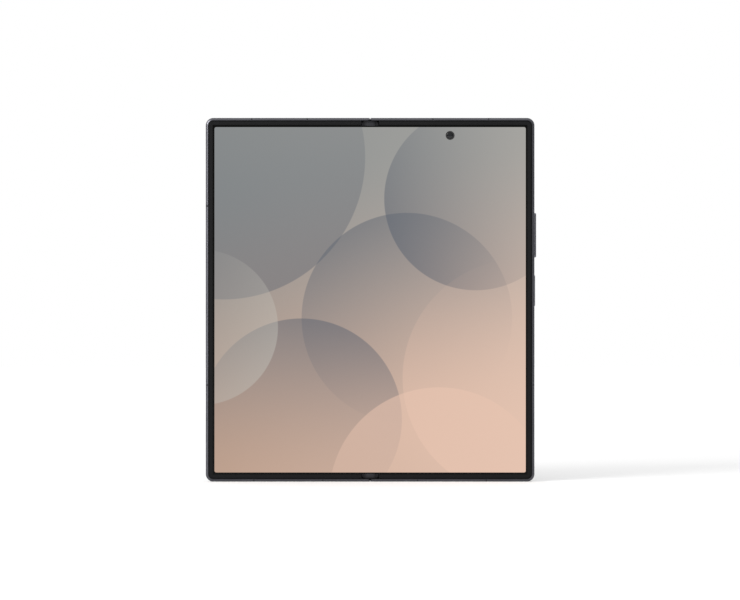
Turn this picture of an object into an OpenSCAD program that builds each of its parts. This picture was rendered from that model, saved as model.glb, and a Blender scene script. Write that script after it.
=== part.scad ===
// Foldable smartphone, fully open. Two thin halves turn on a two-axis geared hinge, and a
// flexible display runs across both. Every piece is drawn lying on its back: x runs across
// the open phone from the fold, y up its height and z from the back covers to the display.
// upright() then stands it on its bottom edge with the display facing -Y.

/* [Body] */
// Width of the open phone, across both halves
open_w = 143.2; // [139:0.2:156]
// Height of the phone
body_h = 158.4; // [152:0.2:172]
// Thickness of one half, from its back cover to the top of its bezel
half_t = 4.2; // [4.2:0.1:5]
// Radius of the four outer corners
corner_r = 3.3; // [3.3:0.1:6]
// Wall of the metal frame
rim_w = 1.15; // [1:0.05:1.3]
// Rounding of the frame's outer edges
rim_round = 0.35; // [0.1:0.05:0.5]
// Rounding of the frames' corners beside the fold, which leaves a notch between the halves
notch_r = 0.5; // [0.3:0.05:0.6]
// Width of the plastic breaks in the frames' metal
break_len = 0.7; // [0.5:0.1:1.2]
// Width of the ledge that each back cover is glued to
ledge_w = 1.0; // [0.6:0.1:1.4]
// Thickness of the plate between the display and the electronics
mid_t = 0.35; // [0.25:0.05:0.45]
// Running clearance between pieces that move past each other
run_gap = 0.1; // [0.08:0.01:0.12]
// Clearance round a piece that is set into another and glued or screwed
set_gap = 0.05; // [0.03:0.01:0.1]

/* [Display and bezel] */
// Thickness of the folding display
display_t = 0.55; // [0.45:0.05:0.6]
// Height of the bezel above the display
bezel_t = 0.25; // [0.2:0.05:0.35]
// How far the bezel stands above the metal frame
bezel_proud = 0.15; // [0.05:0.05:0.2]
// Width of the dark groove between the frame and the bezel
groove_w = 0.35; // [0.2:0.05:0.5]
// Visible width of the bezel
bezel_w = 1.6; // [1.2:0.1:1.7]
// Width of the part of the bezel that stands on the frame
bezel_foot = 0.75; // [0.6:0.05:0.9]
// Bevel along the bezel's top edges
bezel_bevel = 0.1; // [0.05:0.01:0.12]
// Half of the width of the display that bends
fold_half_w = 5.5; // [5:0.1:6]
// Diameter of the hole in the display for the inner camera
punch_d = 3.9; // [3.4:0.1:4.4]
// Distance of the inner camera from the fold
punch_x = 34.85; // [25:0.05:45]
// Distance of the inner camera from the top edge
punch_down = 7.6; // [7:0.1:9]

/* [Covers] */
// Thickness of the back glass and of the cover screen's glass
cover_t = 0.5; // [0.4:0.05:0.55]
// Width of the metal strip between the fold and each back cover
fold_strip_w = 1.5; // [1.2:0.1:2]
// Thickness of the cover screen's panel
cover_panel_t = 0.4; // [0.3:0.05:0.5]

/* [Hinge] */
// Gap between the two bezels when the phone is closed
fold_gap = 0.5; // [0.4:0.05:0.6]
// Thickness of the frames' lips that cover the spine from behind
spine_lip = 0.8; // [0.7:0.05:0.9]
// Wall of the spine
spine_t = 0.5; // [0.4:0.05:0.6]
// Diameter of the pins at the two fold axes
pin_d = 0.6; // [0.5:0.02:0.64]
// Radial clearance of a knuckle or gear on its pin
pin_gap = 0.03; // [0.02:0.01:0.05]
// Outer diameter of the knuckles and of the brackets' eyes
knuckle_d = 1.0; // [0.9:0.02:1.04]
// Length of an arm's knuckle along the pin
knuckle_len = 4; // [3:0.5:6]
// Length of a bracket along the pin
bracket_len = 1.5; // [1:0.1:2.5]
// Thickness of the arms that carry the halves
arm_t = 0.4; // [0.3:0.05:0.42]
// Teeth on each of the four gears of a train
gear_teeth = 10; // [10:2:12]
// Length of the gears along the pin
gear_len = 3; // [2:0.5:4]
// Thickness of the wing plates under the bending part of the display
wing_t = 0.2; // [0.15:0.05:0.22]
// Distance of each wing plate's pivot from the fold
wing_pivot_x = 8.7; // [8.5:0.1:9.2]
// Diameter of the wing plates' pivot pins
wing_pin_d = 0.3; // [0.26:0.02:0.34]
// Outer diameter of the eyes round the wing pins
wing_eye_d = 0.64; // [0.6:0.02:0.66]
// Distance from the fold to the wall that closes each half
hinge_wall_x = 9.3; // [9.2:0.1:9.8]
// Thickness of that wall
hinge_wall_t = 0.6; // [0.4:0.1:0.8]
// Length of the glossy end caps along the height of the phone
cap_len = 2.25; // [1.8:0.05:2.6]
// Depth of the end caps' faces below the bezel
cap_drop = 0.1; // [0.08:0.02:0.2]

/* [Keys] */
// Middle of the volume key above the bottom edge
volume_y = 107.35; // [104:0.05:112]
// Length of the volume key
volume_len = 19.4; // [16:0.2:22]
// How far the volume key stands out of the frame
volume_proud = 0.75; // [0.4:0.05:1]
// Middle of the side key above the bottom edge
side_key_y = 83.15; // [78:0.05:86]
// Length of the side key
side_key_len = 13.4; // [11:0.2:15]
// How far the side key stands out of the frame
side_key_proud = 0.3; // [0.3:0.05:0.6]
// Width of both keys
key_w = 1.8; // [1.5:0.1:1.9]
// Travel of a key
key_travel = 0.25; // [0.15:0.01:0.25]
// Rounding of the volume key's outer ends, as seen from the display
volume_round = 0.45; // [0.2:0.05:0.6]
// Rounding of the side key's outer ends, as seen from the display
side_key_round = 0.2; // [0.1:0.05:0.25]

/* [Ports and tray] */
// Width of the charging port's opening
usb_w = 8.34; // [8:0.02:8.6]
// Height of the charging port's opening
usb_h = 2.56; // [2.4:0.02:2.6]
// Depth of the charging port
usb_len = 7.35; // [6.5:0.05:8]
// Wall of the charging port's shell
usb_wall = 0.12; // [0.08:0.01:0.14]
// Middle of the card tray above the bottom edge
tray_y = 28; // [20:0.5:36]
// Width of the card tray
tray_w = 10.6; // [10:0.1:11]
// Thickness of the card tray
tray_t = 0.9; // [0.8:0.05:1]
// Length of the card tray inside the phone
tray_len = 16.5; // [15:0.5:18]
// Length of the tray's outer cap along the edge
tray_cap_len = 12.8; // [12.2:0.1:14]
// Height of the tray's outer cap
tray_cap_h = 1.7; // [1.4:0.1:2]

/* [Rear cameras] */
// Diameter of the outer ring round each rear lens
lens_d = 14; // [12:0.5:15]
// Distance between the middles of the rear lenses
lens_pitch = 19; // [17:0.5:20]
// Margin of the camera island round the rings
island_margin = 3; // [2.5:0.5:4]
// How far the camera island stands out of the back glass
island_t = 0.7; // [0.5:0.1:1]
// How far the lens rings stand out of the island
lens_ring_t = 1.3; // [1:0.1:1.6]
// Distance of the island from the phone's side edge
island_side = 6; // [5:0.5:8]
// Distance of the island from the phone's top edge
island_top = 7; // [6:0.5:9]

/* [Inside] */
// Thickness of the circuit boards
board_t = 0.6; // [0.5:0.05:0.8]
// Height of the shield cans on the boards
shield_t = 1.0; // [0.8:0.05:1.1]
// Clear distance between the pieces inside a half
inner_gap = 1.0; // [0.6:0.1:1.2]
// Height of the right battery
battery_h = 60; // [50:1:62]
// Thickness of both batteries
battery_t = 2.0; // [1.6:0.1:2]
// Distance of both batteries from the inside of the side wall
battery_side = 4.5; // [4:0.1:6]
// Height of the board above the left battery
sub_board_h = 10.8; // [8:0.1:14]
// Width of the board at the charging port
lower_board_w = 18; // [14:0.5:20]
// Distance of the loudspeaker's holes, at their middle, from the side edge
speaker_side = 17.5; // [16:0.5:20]
// Distance between the loudspeaker's holes
speaker_pitch = 2.6; // [2.2:0.1:2.8]
// Height of the earpiece
earpiece_h = 5; // [4:0.1:6]
// Diameter of the small screws' heads
screw_head_d = 1.8; // [1.4:0.1:2]
// Diameter of the small screws' shanks
screw_d = 1.0; // [0.8:0.1:1]

/* [Hidden] */
$fn = 64;

half_w = open_w / 2;
eps = 0.01;

// levels through one half, from its back
rim_z = half_t - bezel_proud;
display_z1 = half_t - bezel_t;
display_z0 = display_z1 - display_t;
mid_z0 = display_z0 - mid_t;
bezel_sunk = 0.2;
groove_z = display_z1 - bezel_sunk;
cavity_z0 = cover_t + set_gap;
ledge_t = 0.5;
ledge_z1 = cover_t + ledge_t;

// distances inwards from a half's outer edge
bezel_u0 = rim_w + groove_w;
bezel_u1 = bezel_u0 + bezel_w;
foot_u1 = bezel_u0 + bezel_foot;
display_u0 = foot_u1 + set_gap;
cover_u0 = rim_w + set_gap;

// the two fold axes: closed, the halves lie fold_gap apart and their lips meet the spine
axis_x = (half_t + fold_gap / 2 - spine_lip) / 2;
axis_z = (half_t + fold_gap / 2 + spine_lip) / 2;
end_x = run_gap / 2;
spine_r = axis_x - run_gap;
spine_wall_drop = 0.6;
spine_wall_z = axis_z - spine_wall_drop;
spine_floor_z = axis_z - spine_r + spine_t;
spine_y0 = rim_w + run_gap;
knuckle_r = knuckle_d / 2;
pin_r = pin_d / 2;

// the end caps keep inside a circle round each axis, and the halves stay outside it
cap_half_w = 2 * axis_x - run_gap / 2;
cap_z = half_t - cap_drop;
cap_sweep_r = sqrt(pow(cap_half_w - axis_x, 2) + pow(cap_z - axis_z, 2));
pocket_x = axis_x + cap_sweep_r + 1.5 * run_gap;
bezel_x0 = axis_x + sqrt(pow(cap_sweep_r + run_gap, 2) - pow(display_z1 - axis_z, 2)) + run_gap;
fold_y0 = spine_y0 + cap_len + run_gap;
cap_fit = 0.02;
cap_round = 0.25;
cap_cut = 0.3;

// arms lie on a shelf of each frame and pass through notches in the spine's wall
shelf_z = spine_floor_z + run_gap / 2;
arm_z0 = spine_floor_z + 1.5 * run_gap;
arm_z1 = arm_z0 + arm_t;
arm_x1 = hinge_wall_x - 2 * run_gap;
arm_in = 0.35;
arm_neck = 0.4;
arm_screw_in = 3.4;
arm_screw_x = hinge_wall_x - arm_screw_in;
arm_screw_z0 = cover_t + 0.2;
screw_head_t = 0.35;

// one gear train at each end, between a bracket and the knuckle that it drives
gear_r = axis_x / 3;
gear_m = 2 * gear_r / gear_teeth;
gear_y0 = fold_y0 + bracket_len + run_gap;
gear_y1 = gear_y0 + gear_len;
end_knuckle_y1 = gear_y1 + knuckle_len;
end_bracket_y1 = end_knuckle_y1 + run_gap + bracket_len;
idler_wall = 0.2;
idler_pin_r = gear_r - 1.25 * gear_m - idler_wall;
bore_fit = 0.01;
mid_knuckle_y = [body_h / 2 - knuckle_len / 2, body_h / 2 + knuckle_len / 2];

// wing plates swing back under the display as the phone closes
wing_z1 = display_z0 - set_gap;
wing_z0 = wing_z1 - wing_t;
wing_pivot_z = wing_z1 - wing_eye_d / 2;
wing_x0 = axis_x + knuckle_r + 0.75 * run_gap;
wing_neck = 0.2;
wing_x1 = wing_pivot_x - wing_eye_d / 2 - wing_neck;
wing_y0 = gear_y1 + 3 * run_gap;
wing_lug_len = 3;
wing_lug_in = 4;
wing_lug_y = [for (k = [0:4]) wing_y0 + wing_lug_in + k * (body_h - 2 * wing_y0 - 2 * wing_lug_in) / 4];
wing_pin_len = 7;
support_t = 0.12;

// keys and their openings, on the middle of the right frame's side
key_z = (ledge_z1 + mid_z0) / 2;
flange_u0 = rim_w + key_travel + run_gap;
flange_t = 0.45;
flange_over = 0.8;
switch_u0 = flange_u0 + flange_t + key_travel + run_gap;
switch_t = 0.3;
switch_size = [3, 1.4];
switch_strip_t = 0.6;
switch_strip_in = 1;
key_inside = 2;

// charging port, on the bottom edge of the right half
usb_x = half_w / 2;
usb_z = (cavity_z0 + display_z0) / 2;
usb_y0 = 0.25;
usb_back_t = 0.6;
tongue_w = 6.7;
tongue_t = 0.7;
tongue_in = 1.2;

// card tray, in the left edge
tray_z = (ledge_z1 + mid_z0) / 2;
tray_wall = 1;
card_len = 12.4;
card_w = 8.9;
tray_cage_t = 0.15;
cage_wall = 0.5;
cage_end_gap = 0.2;
cage_front = 1.5;

// rear camera island
island_w = lens_d + 2 * island_margin;
island_x = half_w - island_side - island_w / 2;
island_y1 = body_h - island_top;
island_h = 2 * lens_pitch + lens_d + 2 * island_margin;
lens_ys = [for (k = [0:2]) island_y1 - island_w / 2 - k * lens_pitch];
lens_rim = 2;
module_in = 3.5;
module_w = lens_d - module_in;
lens_glass_t = 0.4;
glass_sunk = 0.2;
lens_glass_z = -island_t - lens_ring_t + glass_sunk;
flash_d = 2.5;
flash_side = 2.2;
flash_x = island_x + island_w / 2 - flash_side;
flash_y = lens_ys[0] - lens_pitch / 2;
island_edge = 0.25;

// inner camera in the display's hole, and camera in the cover screen
camera_w = 6.4;
camera_t = 1;
collar_t = 0.6;
lens_lip = 0.55;
lens_sunk = 0.3;
lens_t = 0.18;
lens_drop = 0.1;
cover_camera_w = 6;
camera_cut = 0.6;

// places inside the halves
cavity_x0 = hinge_wall_x + hinge_wall_t;
cavity_x1 = half_w - rim_w;
battery_x0 = cavity_x0 + inner_gap;
battery_x1 = cavity_x1 - battery_side;
battery_round = 1;
lower_y1 = 14;
battery_y0 = lower_y1 + inner_gap;
battery_y1 = battery_y0 + battery_h;
battery_z0 = mid_z0 - battery_t;
board_z0 = mid_z0 - board_t;
board_y0 = battery_y1 + inner_gap;
board_y1 = body_h - rim_w - ledge_w - inner_gap;
board_x1 = island_x - module_w / 2 - inner_gap;
screw_in = 2.5;
can_left = 6.5;
can_right = 3.5;
can_bottom = 3;
can_top = 9;
can_gap = 2;
can_step = 3;
can_round = 0.4;
coil_d = 0.8 * (battery_x1 - battery_x0);
coil_t = 0.3;
motor_size = [10, 8];
earpiece_y1 = body_h - rim_w - ledge_w - set_gap;
camera_down = 4;
cover_camera_y = earpiece_y1 - earpiece_h - camera_down;
cover_camera_x = half_w / 2;
sub_board_y1 = cover_camera_y - camera_down;
sub_board_y0 = sub_board_y1 - sub_board_h;
sub_board_side = 20;
tray_clear = 5;
left_battery_y0 = tray_y + tray_cap_len / 2 + tray_clear;
left_battery_y1 = sub_board_y0 - inner_gap;

// openings in the bottom and top edges, and places of the breaks, from the fold
speaker_hole = [1.6, 0.9];
speaker_mid_x = half_w - speaker_side;
speaker_x = [for (k = [-2.5:2.5]) speaker_mid_x + k * speaker_pitch];
speaker_w = 7 * speaker_pitch;
speaker_x0 = usb_x + lower_board_w / 2 + 3 * run_gap;
earpiece_mid_x = speaker_mid_x - half_w / 4;
mic_x = [24, 20];
break_side_y = [42, 120.05];
break_bottom_x = [20.65, 50.7];
break_top_x = [27.35, 51.6];

// ---- helpers: placing, profiles and sweeps ----

// stands the lying phone on its bottom edge, display towards -Y
module upright() {
    translate([0, half_t / 2, 0]) rotate([90, 0, 0]) children();
}

// the right half as drawn, or its mirror image on the left
module on_side(side) {
    mirror([side < 0 ? 1 : 0, 0, 0]) children();
}

module box(x, y, z) {
    translate([x[0], y[0], z[0]]) cube([x[1] - x[0], y[1] - y[0], z[1] - z[0]]);
}

// a disc of diameter d between two heights
module cylinder_from(z0, z1, d) {
    translate([0, 0, z0]) cylinder(d = d, h = z1 - z0);
}

// a profile in x and z, carried along y
module along_y(y0, y1) {
    translate([0, y1, 0]) rotate([90, 0, 0]) linear_extrude(y1 - y0) children();
}

// a profile in y and z, carried along x
module along_x(x0, x1) {
    translate([x0, 0, 0]) rotate([90, 0, 90]) linear_extrude(x1 - x0) children();
}

// a shape repeated at the other end of the phone's height
module both_ends() {
    children();
    translate([0, body_h, 0]) mirror([0, 1, 0]) children();
}

// a profile (inwards from the outer edge, height) carried round a half's three outer sides
module round_half(x0) {
    both_ends() {
        along_x(x0, half_w - corner_r) children();
        translate([half_w - corner_r, corner_r, 0]) rotate([0, 0, -90])
            rotate_extrude(angle = 90) translate([corner_r, 0]) mirror([1, 0]) children();
    }
    translate([half_w, 0, 0]) mirror([1, 0, 0]) along_y(corner_r, body_h - corner_r) children();
}

// a rectangle with its corners rounded by true arcs
module soft_rect(w, h, r) {
    translate([-w / 2 + r, -h / 2]) square([w - 2 * r, h]);
    translate([-w / 2, -h / 2 + r]) square([w, h - 2 * r]);
    for (x = [-1, 1], y = [-1, 1]) translate([x * (w / 2 - r), y * (h / 2 - r)]) circle(r = r);
}

// the outline of a half, drawn in by u, from x0 outwards
module half_outline(u, x0) {
    r = max(corner_r - u, 0.2);
    translate([x0, u]) square([half_w - u - r - x0, body_h - 2 * u]);
    translate([x0, u + r]) square([half_w - u - x0, body_h - 2 * u - 2 * r]);
    for (y = [u + r, body_h - u - r]) translate([half_w - u - r, y]) circle(r = r);
}

// the frame's section: flat sides with rounded outer edges
module rim_profile() {
    translate([rim_round, 0]) square([rim_w - rim_round, rim_z]);
    translate([0, rim_round]) square([rim_w, rim_z - 2 * rim_round]);
    for (z = [rim_round, rim_z - rim_round]) translate([rim_round, z]) circle(r = rim_round);
}

// what the other half needs clear past the fold: a curve about the fold axis
module fold_end_cut() {
    along_y(-1, body_h + 1) difference() {
        translate([-1, axis_z]) square([1 + axis_x, half_t]);
        translate([axis_x, axis_z]) circle(r = axis_x - end_x);
    }
}

// rounds a half's two corners beside the fold
module notch_cut() {
    both_ends() translate([0, 0, -1]) linear_extrude(half_t + 1) difference() {
        translate([-1, -1]) square([1 + end_x + notch_r, 1 + notch_r]);
        translate([end_x + notch_r, notch_r]) circle(r = notch_r);
    }
}

// a stadium-shaped prism: length along y, height along z, carried along x
module stadium_x(x0, x1, y, z, len, h) {
    along_x(x0, x1) translate([y, z]) soft_rect(len, h, h / 2 - 0.001);
}

// a stadium-shaped prism through the top or bottom edge, carried along y
module stadium_y(y0, y1, x, z, len, h) {
    along_y(y0, y1) translate([x, z]) soft_rect(len, h, h / 2 - 0.001);
}

// ---- frames ----

module half_frame() {
    difference() {
        union() {
            round_half(end_x) rim_profile();
            // ledge under the bezel, and ledge that the back cover is glued to
            round_half(pocket_x) {
                translate([rim_w - eps, mid_z0]) square([foot_u1 - rim_w + eps, groove_z - mid_z0]);
                translate([rim_w - eps, cover_t]) square([ledge_w + eps, ledge_z1 - cover_t]);
            }
            // lip over the spine, with the metal strip along the fold
            box([end_x, fold_strip_w], [rim_w - eps, body_h - rim_w + eps], [0, spine_lip]);
            box([end_x, hinge_wall_x], [rim_w - eps, body_h - rim_w + eps], [cover_t, spine_lip]);
            // shelf for the arms, and wall that closes the half
            box([pocket_x, hinge_wall_x + eps], [rim_w - eps, body_h - rim_w + eps],
                [cover_t, shelf_z]);
            box([hinge_wall_x, cavity_x0], [rim_w - eps, body_h - rim_w + eps],
                [cover_t, display_z0]);
            // plate behind the display
            box([hinge_wall_x, half_w - rim_w + eps], [rim_w - eps, body_h - rim_w + eps],
                [mid_z0, display_z0]);
            for (y = wing_lug_y) wing_lug(y);
        }
        fold_end_cut();
        notch_cut();
        break_cuts();
        arm_screw_holes();
    }
}

module wing_lug(y) {
    difference() {
        union() {
            along_y(y + wing_lug_len / 2 + run_gap, y + wing_pin_len / 2) lug_profile();
            along_y(y - wing_pin_len / 2, y - wing_lug_len / 2 - run_gap) lug_profile();
        }
        along_y(y - wing_pin_len, y + wing_pin_len) translate([wing_pivot_x, wing_pivot_z])
            circle(r = wing_pin_d / 2 + bore_fit);
    }
}

module lug_profile() {
    translate([wing_pivot_x, wing_pivot_z]) circle(r = wing_eye_d / 2);
    translate([wing_pivot_x, wing_pivot_z - wing_eye_d / 2])
        square([hinge_wall_x - wing_pivot_x + eps, wing_eye_d]);
}

// each break as [start, end] along its edge
function spans(mids) = [for (m = mids) [m - break_len / 2, m + break_len / 2]];

module break_cuts() {
    for (y = spans(break_side_y)) box([half_w - rim_w, half_w + 1], y, [-1, half_t]);
    for (x = spans(break_bottom_x)) box(x, [-1, rim_w], [-1, half_t]);
    for (x = spans(break_top_x)) box(x, [body_h - rim_w, body_h + 1], [-1, half_t]);
}

module frame_right() {
    color("dimgray") upright() difference() {
        half_frame();
        // openings for the keys, the charging port, the loudspeaker and the microphones
        stadium_x(half_w - key_inside, half_w + 1, volume_y, key_z,
            volume_len + 2 * run_gap, key_w + 2 * run_gap);
        stadium_x(half_w - key_inside, half_w + 1, side_key_y, key_z,
            side_key_len + 2 * run_gap, key_w + 2 * run_gap);
        stadium_y(-1, usb_y0 + usb_len + 1, usb_x, usb_z,
            usb_w + 2 * usb_wall + 2 * set_gap, usb_h + 2 * usb_wall + 2 * set_gap);
        for (x = speaker_x)
            stadium_y(-1, rim_w + ledge_w, x, key_z, speaker_hole[0], speaker_hole[1]);
        along_y(-1, rim_w + ledge_w) translate([mic_x[0], key_z]) circle(d = speaker_hole[1]);
        along_y(body_h - rim_w - ledge_w, body_h + 1) translate([mic_x[1], key_z])
            circle(d = speaker_hole[1]);
        // hole in the plate for the inner camera
        translate([punch_x, body_h - punch_down, mid_z0 - 1])
            cylinder(d = punch_d + 2 * collar_t + 4 * set_gap, h = mid_t + 2);
    }
}

module frame_left() {
    color("dimgray") upright() on_side(-1) difference() {
        half_frame();
        stadium_x(half_w - rim_w - ledge_w, half_w + 1, tray_y, tray_z,
            tray_cap_len + 2 * run_gap, tray_cap_h + 2 * run_gap);
        for (x = speaker_x) stadium_y(body_h - rim_w - ledge_w, body_h + 1,
            x - speaker_mid_x + earpiece_mid_x, key_z, speaker_hole[0], speaker_hole[1]);
        along_y(-1, rim_w + ledge_w) translate([mic_x[1], key_z]) circle(d = speaker_hole[1]);
    }
}

module antenna_breaks(side) {
    color("gray") upright() on_side(side) {
        for (y = spans(break_side_y)) translate([half_w, 0, 0]) mirror([1, 0, 0])
            along_y(y[0], y[1]) rim_profile();
        for (x = spans(break_bottom_x)) along_x(x[0], x[1]) rim_profile();
        translate([0, body_h, 0]) mirror([0, 1, 0])
            for (x = spans(break_top_x)) along_x(x[0], x[1]) rim_profile();
    }
}

// ---- covers, displays and bezels ----

module back_glass_right() {
    color("darkslategray") upright() difference() {
        linear_extrude(cover_t) half_outline(cover_u0, fold_strip_w + set_gap);
        for (y = lens_ys) translate([island_x, y, -1]) cylinder(d = module_w + 1, h = cover_t + 2);
    }
}

module cover_glass_left() {
    color("black") upright() on_side(-1) linear_extrude(cover_t)
        half_outline(cover_u0, fold_strip_w + set_gap);
}

module cover_panel_left() {
    u = rim_w + ledge_w + set_gap;
    color("midnightblue") upright() on_side(-1) difference() {
        translate([0, 0, cover_t]) linear_extrude(cover_panel_t) half_outline(u, cavity_x0 + set_gap);
        translate([cover_camera_x, cover_camera_y, 0]) cylinder(d = punch_d, h = half_t);
    }
}

module display_half(side) {
    color("rosybrown") upright() on_side(side) difference() {
        translate([0, 0, display_z0]) linear_extrude(display_t) half_outline(display_u0, fold_half_w);
        if (side > 0) translate([punch_x, body_h - punch_down, 0]) cylinder(d = punch_d, h = half_t);
    }
}

module display_fold() {
    color("rosybrown") upright() box([-fold_half_w, fold_half_w], [fold_y0, body_h - fold_y0],
        [display_z0, display_z1]);
}

module bezel(side) {
    color("darkslategray") upright() on_side(side) round_half(bezel_x0) polygon([
        [bezel_u0, groove_z], [foot_u1, groove_z], [foot_u1, display_z1], [bezel_u1, display_z1],
        [bezel_u1, half_t - bezel_bevel], [bezel_u1 - bezel_bevel, half_t],
        [bezel_u0 + bezel_bevel, half_t], [bezel_u0, half_t - bezel_bevel]]);
}

// ---- hinge ----

// the spine's section outside radius r of the two axes, below height z1
module spine_profile(r, z1) {
    intersection() {
        union() {
            translate([-axis_x, axis_z - r]) square([2 * axis_x, r + 1]);
            for (x = [-axis_x, axis_x]) translate([x, axis_z]) circle(r = r);
        }
        translate([-half_w, -half_t]) square([2 * half_w, half_t + z1]);
    }
}

module spine_shell() {
    color("slategray") upright() difference() {
        along_y(spine_y0, body_h - spine_y0) difference() {
            spine_profile(spine_r, spine_wall_z);
            spine_profile(spine_r - spine_t, half_t);
        }
        // notches for the arms
        for (y = arm_spans(), side = [-1, 1]) on_side(side) box([axis_x + knuckle_r, pocket_x],
            [y[0] - 2 * run_gap, y[1] + 2 * run_gap], [spine_floor_z + set_gap, half_t]);
    }
}

// where the arms lie along the phone's height: the two ends and the middle
function arm_spans() = [
    [gear_y1, end_knuckle_y1],
    mid_knuckle_y,
    [body_h - end_knuckle_y1, body_h - gear_y1]];

function bracket_spans() = [
    [fold_y0, fold_y0 + bracket_len],
    [end_knuckle_y1 + run_gap, end_bracket_y1],
    [mid_knuckle_y[0] - run_gap - bracket_len, mid_knuckle_y[0] - run_gap],
    [mid_knuckle_y[1] + run_gap, mid_knuckle_y[1] + run_gap + bracket_len],
    [body_h - end_bracket_y1, body_h - end_knuckle_y1 - run_gap],
    [body_h - fold_y0 - bracket_len, body_h - fold_y0]];

module hinge_brackets() {
    color("silver") upright() for (y = bracket_spans()) difference() {
        along_y(y[0], y[1]) {
            translate([-axis_x, spine_floor_z]) square([2 * axis_x, axis_z + knuckle_r - spine_floor_z]);
            for (x = [-axis_x, axis_x]) translate([x, axis_z]) circle(r = knuckle_r);
        }
        along_y(y[0] - 1, y[1] + 1) {
            for (x = [-axis_x, axis_x]) translate([x, axis_z]) circle(r = pin_r + bore_fit);
            for (x = [-gear_r, gear_r]) translate([x, axis_z]) circle(r = idler_pin_r + bore_fit);
        }
    }
}

module hinge_pins() {
    color("lightgray") upright() {
        both_ends() along_y(fold_y0, end_bracket_y1) {
            for (x = [-axis_x, axis_x]) translate([x, axis_z]) circle(r = pin_r);
            for (x = [-gear_r, gear_r]) translate([x, axis_z]) circle(r = idler_pin_r);
        }
        along_y(mid_knuckle_y[0] - run_gap - bracket_len, mid_knuckle_y[1] + run_gap + bracket_len)
            for (x = [-axis_x, axis_x]) translate([x, axis_z]) circle(r = pin_r);
    }
}

// a small gear in the x-z plane; turn is the angle of its first tooth, and each flank runs
// from a share of the pitch angle at the root to a smaller one at the tip
module gear_profile(turn) {
    root = gear_r - 1.1 * gear_m;
    tip = gear_r + 0.75 * gear_m;
    pitch_angle = 360 / gear_teeth;
    circle(r = root);
    for (k = [0:gear_teeth - 1]) rotate(turn + k * pitch_angle) polygon([
        [0.8 * root, -root * sin(0.24 * pitch_angle)], [root, -root * sin(0.24 * pitch_angle)],
        [gear_r, -gear_r * sin(0.19 * pitch_angle)], [tip, -tip * sin(0.08 * pitch_angle)],
        [tip, tip * sin(0.08 * pitch_angle)], [gear_r, gear_r * sin(0.19 * pitch_angle)],
        [root, root * sin(0.24 * pitch_angle)], [0.8 * root, root * sin(0.24 * pitch_angle)]]);
}

module arm_plate_profile() {
    polygon([[axis_x - arm_in, arm_z0], [pocket_x + 0.1, arm_z0], [pocket_x + 0.1, shelf_z],
        [arm_x1, shelf_z], [arm_x1, arm_z1], [axis_x + arm_neck + run_gap, arm_z1],
        [axis_x + arm_neck, axis_z], [axis_x - arm_in, axis_z]]);
    translate([axis_x, axis_z]) circle(r = knuckle_r);
}

module arms(side) {
    color("silver") upright() on_side(side) difference() {
        union() {
            for (y = arm_spans()) along_y(y[0], y[1]) arm_plate_profile();
            both_ends() along_y(gear_y0, gear_y1 + eps) translate([axis_x, axis_z])
                gear_profile(side > 0 ? 0 : 180 / gear_teeth);
        }
        along_y(0, body_h) translate([axis_x, axis_z]) circle(r = pin_r + pin_gap);
        arm_screw_holes();
    }
}

module arm_screw_holes() {
    for (y = arm_spans()) translate([arm_screw_x, (y[0] + y[1]) / 2, arm_screw_z0])
        cylinder(d = screw_d + 2 * set_gap, h = half_t);
}

module arm_screws(side) {
    color("silver") upright() on_side(side) for (y = arm_spans())
        translate([arm_screw_x, (y[0] + y[1]) / 2, 0]) {
            cylinder_from(arm_screw_z0, arm_z1, screw_d);
            cylinder_from(arm_z1, arm_z1 + screw_head_t, screw_head_d);
        }
}

module gear_idler(side) {
    color("goldenrod") upright() on_side(side) both_ends() difference() {
        along_y(gear_y0, gear_y1) translate([gear_r, axis_z])
            gear_profile(side > 0 ? 180 / gear_teeth : 0);
        along_y(0, body_h) translate([gear_r, axis_z]) circle(r = idler_pin_r + pin_gap);
    }
}

module fold_support() {
    color("lightgray") upright() box([-axis_x + run_gap, axis_x - run_gap],
        [wing_y0, body_h - wing_y0], [axis_z + knuckle_r, axis_z + knuckle_r + support_t]);
}

module end_cap() {
    color("black") upright() {
        along_y(spine_y0, spine_y0 + cap_len) {
            spine_profile(spine_r - spine_t - cap_fit, axis_z);
            difference() {
                translate([0, (axis_z + cap_z) / 2])
                    soft_rect(2 * cap_half_w, cap_z - axis_z, cap_round);
                for (s = [-1, 1]) translate([s * cap_half_w, axis_z])
                    rotate(s * -45) square([cap_cut, cap_cut], center = true);
            }
            translate([-axis_x, spine_floor_z + cap_fit])
                square([2 * axis_x, axis_z - spine_floor_z]);
        }
    }
}

module end_cap_bottom() {
    end_cap();
}

module end_cap_top() {
    translate([0, 0, body_h]) mirror([0, 0, 1]) end_cap();
}

module wing(side) {
    color("silver") upright() on_side(side) difference() {
        union() {
            box([wing_x0, wing_x1], [wing_y0, body_h - wing_y0], [wing_z0, wing_z1]);
            for (y = wing_lug_y) along_y(y - wing_lug_len / 2, y + wing_lug_len / 2) {
                translate([wing_pivot_x, wing_pivot_z]) circle(r = wing_eye_d / 2);
                translate([wing_x1 - eps, wing_z0]) square([wing_pivot_x - wing_x1 + eps, wing_t]);
            }
        }
        along_y(0, body_h) translate([wing_pivot_x, wing_pivot_z])
            circle(r = wing_pin_d / 2 + 2 * bore_fit);
    }
}

module wing_pins(side) {
    color("lightgray") upright() on_side(side) for (y = wing_lug_y)
        along_y(y - wing_pin_len / 2, y + wing_pin_len / 2)
            translate([wing_pivot_x, wing_pivot_z]) circle(r = wing_pin_d / 2);
}

// ---- keys, port and tray ----

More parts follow.
